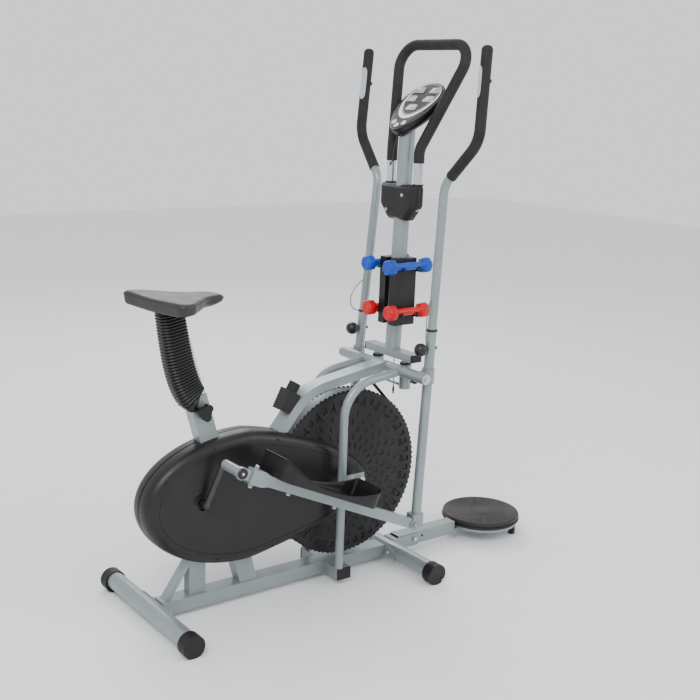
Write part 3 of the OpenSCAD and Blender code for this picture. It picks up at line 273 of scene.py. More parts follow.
def addPiece(name, skins, finish, body, stands=(), crease=38, softer=0):
    # all the skins in one mesh, doubles merged, faces turned outwards, edges sharp past crease
    points, faces, start = [], [], 0
    for verts, skinFaces in skins:
        points.append(verts)
        faces += [[i + start for i in f] for f in skinFaces]
        start += len(verts)
    mesh = bpy.data.meshes.new(name)
    mesh.from_pydata(np.concatenate(points).tolist(), [], faces)
    bm = bmesh.new()
    bm.from_mesh(mesh)
    bmesh.ops.remove_doubles(bm, verts=bm.verts, dist=1e-6)
    bmesh.ops.dissolve_degenerate(bm, dist=1e-7, edges=bm.edges)
    bmesh.ops.recalc_face_normals(bm, faces=bm.faces)
    bm.to_mesh(mesh)
    bm.free()
    mesh.polygons.foreach_set("use_smooth", np.ones(len(mesh.polygons), bool))
    mesh.set_sharp_from_angle(angle=math.radians(crease))
    mesh.materials.append(mats[finish])
    obj = bpy.data.objects.new(name, mesh)
    bpy.context.scene.collection.objects.link(obj)
    if softer:
        sub = obj.modifiers.new("soft", "SUBSURF")
        sub.levels = sub.render_levels = softer
    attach(obj, body)
    if stands:
        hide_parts(*stands)
    return obj


def roundPolygon(corners, radius, steps=6):
    # each corner becomes an arc that leaves its two sides at the same distance; anticlockwise
    corners = np.array(corners, float)
    radius = np.broadcast_to(np.array(radius, float), len(corners))
    back = np.roll(corners, 1, 0) - corners
    ahead = np.roll(corners, -1, 0) - corners
    back /= np.linalg.norm(back, axis=1, keepdims=True)
    ahead /= np.linalg.norm(ahead, axis=1, keepdims=True)
    half = np.arccos(np.clip((back*ahead).sum(1), -1, 1))/2
    cut = radius/np.tan(half)
    start, end = corners + back*cut[:, None], corners + ahead*cut[:, None]
    t = np.linspace(0, 1, steps + 1)[None, :, None]
    weight = radius[:, None, None]*0 + np.sin(half)[:, None, None]
    # a rational quadratic curve with this middle weight is a true arc
    top = (1 - t)**2*start[:, None] + 2*t*(1 - t)*weight*corners[:, None] + t**2*end[:, None]
    return (top/((1 - t)**2 + 2*t*(1 - t)*weight + t**2)).reshape(-1, 2)


def insetOutline(outline, distance):
    # each point moves along the mean of its two side normals, further at a corner
    back, ahead = outline - np.roll(outline, 1, 0), np.roll(outline, -1, 0) - outline
    a = np.stack([-back[:, 1], back[:, 0]], 1)
    b = np.stack([-ahead[:, 1], ahead[:, 0]], 1)
    a /= np.maximum(np.linalg.norm(a, axis=1, keepdims=True), 1e-9)
    b /= np.maximum(np.linalg.norm(b, axis=1, keepdims=True), 1e-9)
    mean = a + b
    mean /= np.maximum(np.linalg.norm(mean, axis=1, keepdims=True), 1e-9)
    return outline + distance*mean/np.clip((mean*a).sum(1), 0.5, 1)[:, None]


def shrinkOutline(outline, inset, safe):
    # past the safe inset, where round corners would fold, the outline shrinks towards its middle
    line = insetOutline(outline, min(inset, safe))
    middle = line.mean(0)
    size = np.linalg.norm(line - middle, axis=1).mean()
    return middle + (line - middle)*(1 - max(inset - safe, 0)/size)


def loftOutline(outline, rows, origin, x, y, z, safe=1.0):
    # rows of (inset, height): the outline, moved in by the inset, stands at that height along z
    origin, x, y, z = (np.array(v, float) for v in (origin, x, y, z))
    layers = [shrinkOutline(outline, inset, safe) for inset, _ in rows]
    return np.stack([origin + p[:, :1]*x + p[:, 1:]*y + h*z for p, (_, h) in zip(layers, rows)])


def turnedRows(rows, origin, x, y, z, count=64, lobes=None):
    # rows of (radius, height) turned about z; lobes(angles, row) may change each row's radius
    origin, x, y, z = (np.array(v, float) for v in (origin, x, y, z))
    a = np.linspace(0, 2*np.pi, count, endpoint=False)
    ring = np.cos(a)[:, None]*x + np.sin(a)[:, None]*y
    swell = [lobes(a, k) if lobes else np.ones(count) for k in range(len(rows))]
    return np.stack([origin + (r*s)[:, None]*ring + h*z for (r, h), s in zip(rows, swell)])


def smoothLine(points, count):
    # a Catmull-Rom curve through the points, sampled evenly in its own parameter
    p = np.array(points, float)
    p = np.concatenate([2*p[:1] - p[1:2], p, 2*p[-1:] - p[-2:-1]])
    t = np.linspace(0, len(points) - 1 - 1e-9, count)
    k, f = t.astype(int), (t % 1)[:, None]
    a, b, c, d = p[k], p[k + 1], p[k + 2], p[k + 3]
    return 0.5*(2*b + (c - a)*f + (2*a - 5*b + 4*c - d)*f**2 + (3*b - a - 3*c + d)*f**3)


def carryProfile(path, profile, side):
    # the profile, (count, 2) or (stops, count, 2), set square to the path at every stop
    path = np.array(path, float)
    along = np.gradient(path, axis=0)
    along /= np.linalg.norm(along, axis=1, keepdims=True)
    across = np.cross(np.array(side, float), along)
    across /= np.linalg.norm(across, axis=1, keepdims=True)
    third = np.cross(along, across)
    profile = np.broadcast_to(profile, (len(path),) + np.shape(profile)[-2:])
    return path[:, None] + profile[..., :1]*across[:, None] + profile[..., 1:]*third[:, None]


# Cords

cordStops = {
    "rightPulseWire": dict(node="right_pulse_wire", body="right_arm_unit", slot="cable", far="object",
        finish="clearSheath",
        stops=[(0.151, -0.165, 0.846), (0.146, -0.165, 0.841), (0.141, -0.165, 0.832),
               (0.137, -0.165, 0.819), (0.135, -0.165, 0.804), (0.134, -0.165, 0.788),
               (0.133, -0.165, 0.772), (0.133, -0.165, 0.756), (0.133, -0.165, 0.740),
               (0.134, -0.165, 0.725), (0.136, -0.165, 0.713), (0.141, -0.165, 0.706)]),
    "leftPulseWire": dict(node="left_pulse_wire", body="left_arm_unit", slot="cable", far="object",
        finish="clearSheath",
        stops=[(0.158, 0.165, 0.848), (0.151, 0.165, 0.845), (0.141, 0.165, 0.838),
               (0.130, 0.165, 0.828), (0.120, 0.165, 0.816), (0.112, 0.165, 0.802),
               (0.109, 0.165, 0.787), (0.112, 0.165, 0.773), (0.120, 0.165, 0.762),
               (0.133, 0.165, 0.755), (0.150, 0.165, 0.752)]),
    "consoleCable": dict(node="console_cable", body="frame", slot="cable", far="object",
        finish="cableSheath",
        stops=[(0.145, 0.010, 1.297), (0.142, 0.013, 1.287), (0.140, 0.016, 1.275),
               (0.137, 0.017, 1.262), (0.135, 0.018, 1.249), (0.134, 0.019, 1.236),
               (0.134, 0.021, 1.223), (0.135, 0.026, 1.212), (0.138, 0.034, 1.205),
               (0.142, 0.042, 1.203), (0.146, 0.048, 1.206), (0.153, 0.054, 1.211)]),
    "sensorCable": dict(node="sensor_cable", body="frame", slot="cable", far="connector",
        finish="cableSheath",
        stops=[(0.156, 0, 0.647), (0.156, 0, 0.638), (0.156, 0, 0.629), (0.156, 0, 0.620),
               (0.156, 0, 0.611), (0.156, 0, 0.602), (0.157, 0, 0.593), (0.157, 0, 0.584),
               (0.157, 0, 0.575), (0.158, 0, 0.566), (0.158, 0, 0.558), (0.158, 0, 0.550)]),
}
cordRadius = 0.0015


def layCord(name, spec):
    line = smoothLine(spec["stops"], 36)
    curve = bpy.data.curves.new(name, "CURVE")
    curve.dimensions = "3D"
    spline = curve.splines.new("POLY")
    spline.points.add(len(line) - 1)
    spline.points.foreach_set("co", np.column_stack([line, np.ones(len(line))]).ravel())
    curve.bevel_depth, curve.bevel_resolution, curve.use_fill_caps = cordRadius, 4, True
    curve.materials.append(mats[spec["finish"]])
    obj = bpy.data.objects.new(name, curve)
    bpy.context.scene.collection.objects.link(obj)
    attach(obj, spec["body"])
    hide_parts(spec["node"])
    tuple(line[0])


# the connector's radius swells from the sheath to its body, then steps down to its tip
connector = [(0.0016, 0.004), (0.0024, 0.0), (0.0030, -0.003), (0.0034, -0.006), (0.0034, -0.013),
             (0.0026, -0.014), (0.0026, -0.019), (0.0020, -0.0205)]
plugTip = addPiece("sensorConnector", [skinOf(turnedRows(connector, (0.158, 0, 0.5465), (1, 0, 0),
                   (0, 1, 0), (0, 0, 1), 20))], "blackPlastic", "frame")
for cordName, cordSpec in cordStops.items():
    layCord(cordName, cordSpec)


# Saddle: a rounded triangle, crowned in the middle, with a rolled rim and a plastic pan under it

saddle = {"rearHalf": 0.131, "rearEdge": -0.064, "noseEdge": 0.158, "turn": math.radians(9),
          "top": 0.8855, "rise": 0.008, "rearSkirt": 0.036, "noseSkirt": 0.022, "dip": 0.0025}


def saddleOutline(count):
    # a triangle with firm rear corners, slightly hollow flanks and a blunt nose, evenly resampled
    w, rear, nose = saddle["rearHalf"], saddle["rearEdge"], saddle["noseEdge"]
    poly = [(rear, -w + 0.012), (rear + 0.012, -w), (rear + 0.045, -w + 0.006), (nose - 0.075, -0.045),
            (nose, -0.027), (nose, 0.027), (nose - 0.075, 0.045), (rear + 0.045, w - 0.006),
            (rear + 0.012, w), (rear, w - 0.012)]
    line = roundPolygon(poly, [0.016, 0.014, 0.034, 0.10, 0.024, 0.024, 0.10, 0.034, 0.014, 0.016], 10)
    gap = np.linalg.norm(np.roll(line, -1, 0) - line, axis=1)
    at = np.concatenate([[0], np.cumsum(gap)])
    closed = np.concatenate([line, line[:1]])
    want = np.linspace(0, at[-1], count, endpoint=False)
    return np.column_stack([np.interp(want, at, closed[:, k]) for k in (0, 1)])


def saddleTop():
    # share s from the middle (0) to the rim (1) and back under: the top is crowned, the skirt is
    # deep at the rear and shallow at the nose, and the whole top slopes down towards the nose
    line = saddleOutline(144)
    s = np.concatenate([np.linspace(0.04, 0.86, 14), [0.91, 0.95, 0.98, 0.995, 1.0, 1.0, 0.995, 0.985,
                        0.975, 0.96, 0.93, 0.86, 0.75]])
    drop = np.concatenate([0.0035*np.linspace(0.04, 0.86, 14)**4, [0.0028, 0.0042, 0.0066, 0.0095,
                           0.0125, 0.02, 0.32, 0.62, 0.86, 0.98, 1.04, 1.07, 1.08]])
    top = np.arange(len(s)) < 19
    flat = s[:, None, None]*line
    forward = np.clip((line[:, 0] - saddle["rearEdge"])/(saddle["noseEdge"] - saddle["rearEdge"]), 0, 1)
    skirt = saddle["rearSkirt"] + (saddle["noseSkirt"] - saddle["rearSkirt"])*forward
    fall = np.where(top[:, None], drop[:, None], 0.0125 + np.where(top, 0, drop)[:, None]
                    * (skirt - 0.0125)[None])
    slope = saddle["rise"]*(0.35 - (flat[..., 0] - saddle["rearEdge"])/0.222)
    seat = saddle["dip"]*np.exp(-((flat[..., 0] + 0.01)/0.05)**2 - (flat[..., 1]/0.05)**2)
    wings = 0.0035*np.clip(np.abs(flat[..., 1])/0.131, 0, 1)**2
    return flat, saddle["top"] - fall + slope - seat + wings


def placeSaddle(flat, height):
    c, s = math.cos(saddle["turn"]), math.sin(saddle["turn"])
    x0 = -0.5877
    return np.stack([x0 + c*flat[..., 0] - s*flat[..., 1], s*flat[..., 0] + c*flat[..., 1],
                     height], -1)


flat, height = saddleTop()
pad = addPiece("saddlePad", [skinOf(placeSaddle(flat, height))], "saddleVinyl", "seat_unit",
               ["saddle"], crease=80, softer=1)
# the pan under the pad: shrinks towards the post as it goes down
panLine = saddleOutline(96)
panRows = [(0.70, 0.8640), (0.90, 0.8590), (0.92, 0.8560), (0.80, 0.8500), (0.5, 0.8440),
           (0.36, 0.8412), (0.30, 0.8400)]
pan = np.stack([placeSaddle(share*panLine + (1 - share)*np.array([0.004, 0]), np.full(96, z))
                for share, z in panRows])
addPiece("saddlePan", [skinOf(pan)], "blackPlastic", "seat_unit")
# the welt is a thin roll along the edge where the top meets the skirt
rimLine, rimHeight = flat[18]*1.004, height[18] + 0.0004
welt = placeSaddle(rimLine, rimHeight)
ring = np.linspace(0, 2*np.pi, 8, endpoint=False)
along = np.roll(welt, -1, 0) - np.roll(welt, 1, 0)
along /= np.linalg.norm(along, axis=1, keepdims=True)
outward = np.cross(along, [0, 0, 1.0])
weltGrid = welt[:, None] + 0.0013*(np.cos(ring)[None, :, None]*outward[:, None]
                                   + np.sin(ring)[None, :, None]*np.array([0, 0, 1.0]))
addPiece("saddleWelt", [skinOf(weltGrid, loopU=True)], "saddleVinyl", "seat_unit")
print("saddle made")


# Seat boot: a soft square tube in pleats, leaning rearwards with the post

boot = {"foot": (-0.5215, 0, 0.6065), "top": (-0.5935, 0, 0.8475), "belly": 0.016, "pleats": 31,
        "halfDeep": 0.0385, "halfWide": 0.0290, "depth": 0.0032}


def bootSkin():
    # each pleat is one turn of a rounded wave in the size; the boot sags rearwards low down
    stops = boot["pleats"]*8 + 1
    t = np.linspace(0, 1, stops)
    foot, top = np.array(boot["foot"]), np.array(boot["top"])
    push = np.array([-math.cos(math.radians(16.5)), 0, -math.sin(math.radians(16.5))])
    path = foot + t[:, None]*(top - foot) + boot["belly"]*np.sin(np.pi*t**0.62)[:, None]*push
    swell = boot["depth"]*(np.abs(np.cos(np.pi*boot["pleats"]*t))**0.7 - 0.5)
    slack = 0.94 + 0.07*np.clip(np.sin(np.pi*t**0.5), 0, 1)**0.5 - 0.05*t
    corner = roundPolygon([(-1, -1), (1, -1), (1, 1), (-1, 1)], 0.62, 7)
    size = np.stack([boot["halfDeep"]*slack + swell, boot["halfWide"]*slack + swell], 1)
    return carryProfile(path, corner[None]*size[:, None, :], (0, 1, 0))


bootPiece = addPiece("seatBoot", [skinOf(bootSkin())], "bootRubber", "frame",
                     ["seat_boot"], crease=75)
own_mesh(bootPiece)
print("boot made")


# Shrouds: each half is one skin, out along the rim, over the rounded edge, in to the axle's hole,
# and back along the inside

shroud = {"mid": -0.36695, "fore": 0.415, "aft": 0.318, "high": 0.1885, "z": 0.3125, "half": 0.050,
          "wall": 0.0022, "hole": 0.019, "axle": (-0.51595, 0.323), "wheel": (-0.02395, 0.3165),
          "clear": 0.266}


def shroudOutline(a, inset):
    # an ellipse behind its highest point, and a narrower tail in front
    c, s = np.cos(a), np.sin(a)
    high = shroud["high"] - inset
    fore = shroud["mid"] + (shroud["fore"] - inset)*np.abs(c)**1.74
    rear = shroud["mid"] - (shroud["aft"] - inset)*np.abs(c)**0.95
    zFore = shroud["z"] - 0.026*np.abs(c)**3.48 + high*s
    zRear = shroud["z"] + 0.008*c*c + high*s
    return np.column_stack([np.where(c >= 0, fore, rear), np.where(c >= 0, zFore, zRear)])


def shroudSkin(side):
    a = np.linspace(0, 2*np.pi, 220, endpoint=False) + 0.003
    # (inset, distance from the seam): rim, step of the joint, rounded edge, then the flat face
    edge = [(0.0016, 0.0004), (0.0016, 0.0022), (0.0, 0.0028), (0.0, 0.012), (0.0008, 0.021),
            (0.0022, 0.028), (0.0045, 0.0345), (0.0080, 0.0397), (0.0122, 0.0437), (0.0170, 0.0467),
            (0.0225, 0.0487), (0.0290, 0.0497), (0.0345, 0.0500), (0.0350, 0.0492), (0.0362, 0.0492),
            (0.0367, 0.0500)]
    rows = [(shroudOutline(a, i), y) for i, y in edge]
    face, ring = rows[-1][0], np.array(shroud["axle"]) + shroud["hole"]*np.column_stack(
        [np.cos(a), np.sin(a)])
    rows += [(face + s*(ring - face), 0.0500) for s in (0.15, 0.35, 0.6, 0.85)]
    wide = np.array(shroud["axle"]) + 0.034*np.column_stack([np.cos(a), np.sin(a)])
    rows += [(wide, 0.0500), (wide + 0.25*(ring - wide), 0.0485), (ring, 0.0483)]
    inner = [(ring, 0.0461)]
    inner += [(shroudOutline(a, 0.040), 0.0478)]
    inner += [(shroudOutline(a, i + shroud["wall"]), y - shroud["wall"]*min(1, y/0.03))
              for i, y in edge[::-1]]
    rows += inner
    grid = np.stack([np.column_stack([p[:, 0], np.full(len(a), side*y), p[:, 1]]) for p, y in rows])
    # where the wheel stands between the halves the skin starts beside its cover
    reach = np.hypot(grid[..., 0] - shroud["wheel"][0], grid[..., 2] - shroud["wheel"][1])
    start = np.where(reach < shroud["clear"], 0.0316, 0.0)
    y = np.abs(grid[..., 1])
    grid[..., 1] = side*np.maximum(y, start + 0.02*np.minimum(y, 0.02))
    return skinOf(grid, loopU=True)


for name, side, node in (("rightShroudShell", -1, "right_shroud"), ("leftShroudShell", 1, "left_shroud")):
    addPiece(name, [shroudSkin(side)], "shroudPlastic", "frame", [node], crease=30)


def screwHead(x, z, side, y, r):
    # a low dome with a cross slot sunk in it
    def lobes(a, k):
        return np.ones_like(a)*(1 - 0.25*(k >= 4)*(np.abs(np.sin(2*a)) < 0.5))
    rows = [(1.3*r, -0.003), (1.3*r, 0.0004), (1.05*r, 0.0004), (r, -0.001), (0.9*r, -0.0004),
            (0.3*r, -0.0002)]
    return skinOf(turnedRows(rows, (x, side*y, z), (1, 0, 0), (0, 0, -side), (0, side, 0), 24, lobes))


screwAngles = np.radians([18, 66, 112, 150, 210, 250, 292, 326])
screwSpots = shroudOutline(screwAngles, 0.0225)
addPiece("shroudScrews", [screwHead(x, z, side, 0.0487, 0.0042) for side in (-1, 1)
                          for x, z in screwSpots], "blackSteel", "frame")
print("shrouds made")


# Wheel covers: a shallow dish with a studded rim, rows of short slots and raised blades

cover = {"centre": (-0.02395, 0.3165), "half": 0.029, "studs": 96,
         "blades": 48}


def coverSkin(side):
    # radius from the hub to the rim; the face's height adds blades, slot rows and a stepped rim
    a = np.linspace(0, 2*np.pi, 768, endpoint=False)
    r = np.array([0.028, 0.031, 0.045, 0.060, 0.0605, 0.070, 0.082, 0.0825, 0.094, 0.0945, 0.106,
                  0.1065, 0.118, 0.1185, 0.130, 0.1305, 0.142, 0.1425, 0.154, 0.1545, 0.166, 0.1665,
                  0.178, 0.1785, 0.190, 0.1905, 0.202, 0.210, 0.2105, 0.228, 0.2285, 0.236, 0.241,
                  0.2445, 0.2470, 0.2470, 0.2470])
    rr, aa = np.meshgrid(r, a, indexing="ij")
    face = np.interp(r, [0.028, 0.032, 0.10, 0.205, 0.21, 0.236, 0.2445, 0.247],
                     [0.0275, 0.0290, 0.0262, 0.0268, 0.0290, 0.0290, 0.0270, 0.0225])
    face[-2:] = (0.0212, 0.0202)
    y = np.repeat(face[:, None], len(a), 1)
    band = ((rr*1000 - 58)//12).astype(int)
    # a slot shows in every other band and skips every third run, so that rows alternate
    spin = np.sin(24*aa + 1.1*band)
    slot = (rr > 0.064) & (rr < 0.203) & (band % 2 == 0) & (spin > 0.25)
    y = np.where(slot, y - 0.0032, y)
    blade = (rr > 0.2102) & (rr < 0.2283) & (np.sin(cover["blades"]*aa) > 0.3)
    y = np.where(blade, y - 0.0030, y)
    stud = np.sin(cover["studs"]*aa) > 0.0
    rim = rr.copy()
    rim = np.where((rr >= 0.2445), rr + 0.003*stud, rr)
    x0, z0 = cover["centre"]
    outer = np.stack([x0 + rim*np.cos(aa), side*y, z0 + rim*np.sin(aa)], -1)
    back = np.stack([x0 + rim[[0]]*np.cos(aa[[0]]), np.full((1, len(a)), side*0.0255),
                     z0 + rim[[0]]*np.sin(aa[[0]])], -1)
    inside = np.stack([x0 + 0.2440*np.cos(aa[[0]]), np.full((1, len(a)), side*0.0202),
                       z0 + 0.2440*np.sin(aa[[0]])], -1)
    under = np.stack([x0 + 0.2435*np.cos(aa[[0]]), np.full((1, len(a)), side*0.0222),
                      z0 + 0.2435*np.sin(aa[[0]])], -1)
    return skinOf(np.concatenate([outer, inside, under, back]), loopU=True)


for name, side in (("rightWheelCover", -1), ("leftWheelCover", 1)):
    addPiece(name, [coverSkin(side)], "blackPlastic", "wheel_unit",
             ["wheel_covers"] if side < 0 else [], crease=25)
print("wheel covers made")


# Foot trays: a dished tub with a rolled rim, a ridged floor and a grid of small studs

tray = {"start": 0.095, "length": 0.350, "inner": 0.102, "width": 0.132, "low": 0.012, "high": 0.058,
        "floor": 0.015,
        "pins": {-1: (-0.47804, 0.44106), 1: (-0.55386, 0.20494)},
        "knees": {-1: (0.11611, 0.17501), 1: (0.09647, 0.17531)}}


def alongBar(side):
    # the bar runs from the crank pin to the pivot under the arm
    pin, knee = (np.array(tray[k][side]) for k in ("pins", "knees"))
    d = (knee - pin)/np.linalg.norm(knee - pin)
    return (pin[0], 0, pin[1]), (d[0], 0, d[1]), (-d[1], 0, d[0])


def traySkins(side):
    # the wall's height follows a circle, high at both ends and low at the middle
    s0, s1 = tray["start"], tray["start"] + tray["length"]
    y0, y1 = tray["inner"], tray["inner"] + tray["width"]
    line = roundPolygon([(s0, y0), (s1, y0), (s1, y1), (s0, y1)], [0.012, 0.012, 0.03, 0.03], 8)
    gap = np.linalg.norm(np.roll(line, -1, 0) - line, axis=1)
    at = np.concatenate([[0], np.cumsum(gap)])
    want = np.linspace(0, at[-1], 260, endpoint=False)
    line = np.column_stack([np.interp(want, at, np.append(line[:, k], line[0, k])) for k in (0, 1)])
    sag = tray["high"] - tray["low"]
    share = np.clip(2*np.abs((line[:, 0] - (s0 + s1)/2)/tray["length"]), 0, 1)
    wall = tray["low"] + sag*share**2.1
    # (inset, share of the wall's height, fixed height): up the outside, over the rim, down inside
    rows = [(0.006, 0, 0.0), (0.002, 0, 0.0008), (0.0005, 0, 0.004), (0.0, 0.55, 0.001),
            (0.0, 0.93, 0.0), (-0.0022, 0.96, 0.0), (-0.0024, 1.0, -0.0004), (-0.001, 1.0, 0.0008),
            (0.0012, 1.0, 0.0006), (0.0026, 1.0, -0.001), (0.0034, 0.55, 0.001), (0.0042, 0, 0.0065),
            (0.0060, 0, 0.0046), (0.0100, 0, 0.0040)]
    origin, x, z = (np.array(v) for v in alongBar(side))
    layers = []
    for inset, rise, lift in rows:
        p = insetOutline(line, inset)
        h = tray["floor"] + rise*wall + lift
        layers.append(origin + p[:, :1]*x + p[:, 1:]*np.array([0, side, 0]) + h[:, None]*z)
    tub = skinOf(np.stack(layers))
    # the tread: ridges across the foot, cut into studs by grooves along it
    u, v = np.linspace(s0 + 0.014, s1 - 0.014, 240), np.linspace(y0 + 0.013, y1 - 0.013, 76)
    uu, vv = np.meshgrid(u, v, indexing="ij")
    ridge = 0.0016*np.clip(2.2*np.sin(uu*2*np.pi/0.0125), 0, 1)*np.clip(2.4*np.sin(
        vv*2*np.pi/0.021) + 1.4, 0, 1)
    fade = np.clip(np.minimum(np.minimum(uu - u[0], u[-1] - uu), np.minimum(vv - v[0], v[-1] - vv))
                   / 0.004, 0, 1)
    h = tray["floor"] + 0.0039 + ridge*fade + 0.0002*(fade > 0)
    tread = origin + uu[..., None]*x + vv[..., None]*np.array([0, side, 0]) + h[..., None]*z
    low = tread - 0.002*z
    sheet = skinOf(np.concatenate([low[[0]], tread, low[[-1]]]), loopV=False)
    return [tub, sheet]


for name, side, node, body in (("rightTray", -1, "right_tray", "right_bar_unit"),
                               ("leftTray", 1, "left_tray", "left_bar_unit")):
    addPiece(name, traySkins(side), "blackPlastic", body, [node], crease=40)
print("trays made")


# Hand weights: six-sided heads with rounded corners and a swelling grip

weights = {"gripRadius": 0.0108, "headRadius": 0.0232, "head": 0.031, "y": 0.050,
           "blue": dict(z=0.920, mid=0.15005, length=0.160), "red": dict(z=0.7865, mid=0.15405, length=0.150)}


def weightSkin(side, z, mid, length):
    # each row is a radius, a place along the bar and how six-sided it is, from round 0 to 1
    head, grip, R = weights["head"], weights["gripRadius"], weights["headRadius"]
    end = [(0.30, 0.0012, 0.1), (0.42, 0.0012, 0.15), (0.50, 0.0, 0.3), (0.72, 0.0, 0.55),
           (0.86, 0.0018, 0.75), (0.95, 0.0050, 0.85), (1.0, 0.010, 0.9), (1.0, head - 0.011, 0.9),
           (0.95, head - 0.0055, 0.85), (0.84, head - 0.0018, 0.7), (0.70, head, 0.45),
           (0.56, head + 0.0015, 0.1), (0.50, head + 0.005, 0.0)]
    start = mid - length/2
    first = [(R*r, start + s, k) for r, s, k in end]
    share = np.linspace(0.06, 0.94, 12)
    span = length - 2*head
    middle = [(grip*(1 + 0.10*math.sin(math.pi*s)), start + head + s*span, 0) for s in share]
    last = [(R*r, start + length - s, k) for r, s, k in end[::-1]]
    rows = np.array(first + middle + last)
    a = np.linspace(0, 2*np.pi, 96, endpoint=False)
    flatness = math.cos(math.pi/6)/np.cos((a + math.radians(15)) % (np.pi/3) - np.pi/6)
    soft = np.minimum(flatness, 0.955)/0.955*1.02
    swell = 1 + rows[:, 2:]*(soft[None] - 1)
    rad = rows[:, :1]*swell
    return skinOf(np.stack([np.repeat(rows[:, 1:2], 96, 1), side*weights["y"] + rad*np.cos(a),
                            z + rad*np.sin(a)], -1))


for tint in ("blue", "red"):
    for sideName, side in (("right", -1), ("left", 1)):
        node = f"{tint}_dumbbell_{sideName}"
        w = weights[tint]
        addPiece(f"{tint}Weight.{sideName}", [weightSkin(side, w["z"], w["mid"], w["length"])],
                 f"{tint}Vinyl", f"{tint}_{sideName}", [node], crease=50)
print("hand weights made")


# Clamp housing: two moulded halves with chamfered faces, and a collar round each leg of the loop

mastTop = {"foot": 0.14905, "lean": math.tan(math.radians(1.63)), "footZ": 0.668}


def mastX(z):
    return mastTop["foot"] + (z - mastTop["footZ"])*mastTop["lean"]


clamp = {"low": 1.0505, "top": 1.1525, "legX": mastX(1.1525) + 0.001, "rear": -0.031, "front": 0.017}


def clampHalf(x0, x1):
    low, top = clamp["low"], clamp["top"]
    line = roundPolygon([(-0.042, low), (0.042, low), (0.079, low + 0.042), (0.079, top),
                         (-0.079, top), (-0.079, low + 0.042)], [0.008, 0.008, 0.012, 0.005, 0.005, 0.012], 6)
    way = 1 if x1 > x0 else -1
    rows = [(0.0009, x0), (0.0, x0 + way*0.0006), (0.0, x1 - way*0.0135), (0.0012, x1 - way*0.0115),
            (0.011, x1 - way*0.0012), (0.0125, x1 - way*0.0003), (0.015, x1), (0.030, x1)]
    return skinOf(loftOutline(line, rows, (clamp["legX"], 0, 0), (0, 1, 0), (0, 0, 1), (1, 0, 0),
                              0.0045))


addPiece("clampHousing", [clampHalf(-0.0004, clamp["rear"]), clampHalf(0.0004, clamp["front"])],
         "blackPlastic", "frame", ["clamp_housing"], crease=32)
collar = [(0.0150, -0.001), (0.0168, 0.0006), (0.0168, 0.0028), (0.0150, 0.0042),
           (0.0127, 0.0042)]
for y in (-0.061, 0.061):
    addPiece(f"legCollar.{'right' if y < 0 else 'left'}", [skinOf(turnedRows(collar,
             (clamp["legX"], y, clamp["top"]), (1, 0, 0), (0, 1, 0), (0, 0, 1), 48))],
             "blackPlastic", "frame")


# Console: an egg-shaped case with a dark face, a white crescent, five display frames and a key ring

console = {"tilt": math.radians(41.4), "long": 0.101, "wide": 0.0755, "egg": 0.31,
           "at": (mastX(1.372) + 0.020, 0, 1.372),
           "windows": [(0.066, 0.033), (0.066, -0.033), (0.029, 0.037), (0.029, -0.037), (-0.007, 0.004)],
           "windowSize": (0.018, 0.034)}
consoleX = (math.cos(console["tilt"]), 0, math.sin(console["tilt"]))
consoleZ = (-math.sin(console["tilt"]), 0, math.cos(console["tilt"]))


def eggOutline(count=120, inset=0.0):
    # an ellipse whose width grows towards its far end
    t = np.linspace(0, 2*np.pi, count, endpoint=False)
    return np.column_stack([(console["long"] - inset)*np.cos(t),
                            (console["wide"] - inset)*np.sin(t)*(1 + console["egg"]*np.cos(t))])


def consoleSkin(line, rows, at=(0, 0), closed=True):
    p = np.array(console["at"]) + at[0]*np.array(consoleX) + np.array([0, at[1], 0])
    return skinOf(loftOutline(line, rows, p, consoleX, (0, 1, 0), consoleZ))


addPiece("consoleShell", [consoleSkin(eggOutline(), [
    (0.040, -0.0338), (0.020, -0.0335), (0.010, -0.0315), (0.0045, -0.0265), (0.0015, -0.019),
    (0.0, -0.010), (0.0, -0.0045), (0.0012, -0.0036), (0.0, -0.003), (-0.0002, -0.0008),
    (0.0008, 0.0006), (0.0030, 0.0012), (0.0052, 0.0006), (0.0056, -0.0004)])],
    "glossPlastic", "frame", ["console_case"], crease=40)
addPiece("consolePlate", [consoleSkin(eggOutline(120, 0.0056), [(0.0, -0.0008), (0.0, 0.0006),
         (0.0006, 0.0011), (0.006, 0.0013)])], "panelGrey", "frame",
         ["console_face", "console_display"], crease=40)


def ringGrid(line, inset, width, low, high):
    # a closed flat band that follows the outline
    rows = [(inset, low), (inset, high), (inset + width, high), (inset + width, low)]
    p = np.array(console["at"])
    return skinOf(loftOutline(line, rows, p, consoleX, (0, 1, 0), consoleZ), loopU=True)


def ovalOutline(middle, long, wide, count=120):
    t = np.linspace(0, 2*np.pi, count, endpoint=False)
    return np.column_stack([middle + long*np.cos(t), wide*np.sin(t)*(1 + 0.16*np.cos(t))])


# the white crescent lies between two ovals that touch at the far end
outerOval, innerOval = ovalOutline(0.0215, 0.0740, 0.0655), ovalOutline(0.0285, 0.0672, 0.0585)
crescentRows = [(outerOval, 0.0011), (outerOval, 0.0019), (innerOval, 0.0019), (innerOval, 0.0011)]
crescent = np.stack([np.array(console["at"]) + p[:, :1]*np.array(consoleX) + p[:, 1:]*np.array([0, 1, 0])
                     + h*np.array(consoleZ) for p, h in crescentRows])
addPiece("consoleCrescent", [skinOf(crescent, loopU=True)], "whitePrint", "frame")
addPiece("consoleDarkField", [consoleSkin(innerOval, [(0.0, 0.0010), (0.0, 0.0020), (0.0006, 0.0023),
         (0.004, 0.0024)])], "panelGrey", "frame", crease=40)
silverLine = ovalOutline(0.0285, 0.0640, 0.0553)
addPiece("consoleThinRing", [ringGrid(silverLine, 0.0, 0.0011, 0.0020, 0.0027)],
         "consoleSilver", "frame")
frames, glasses = [], []
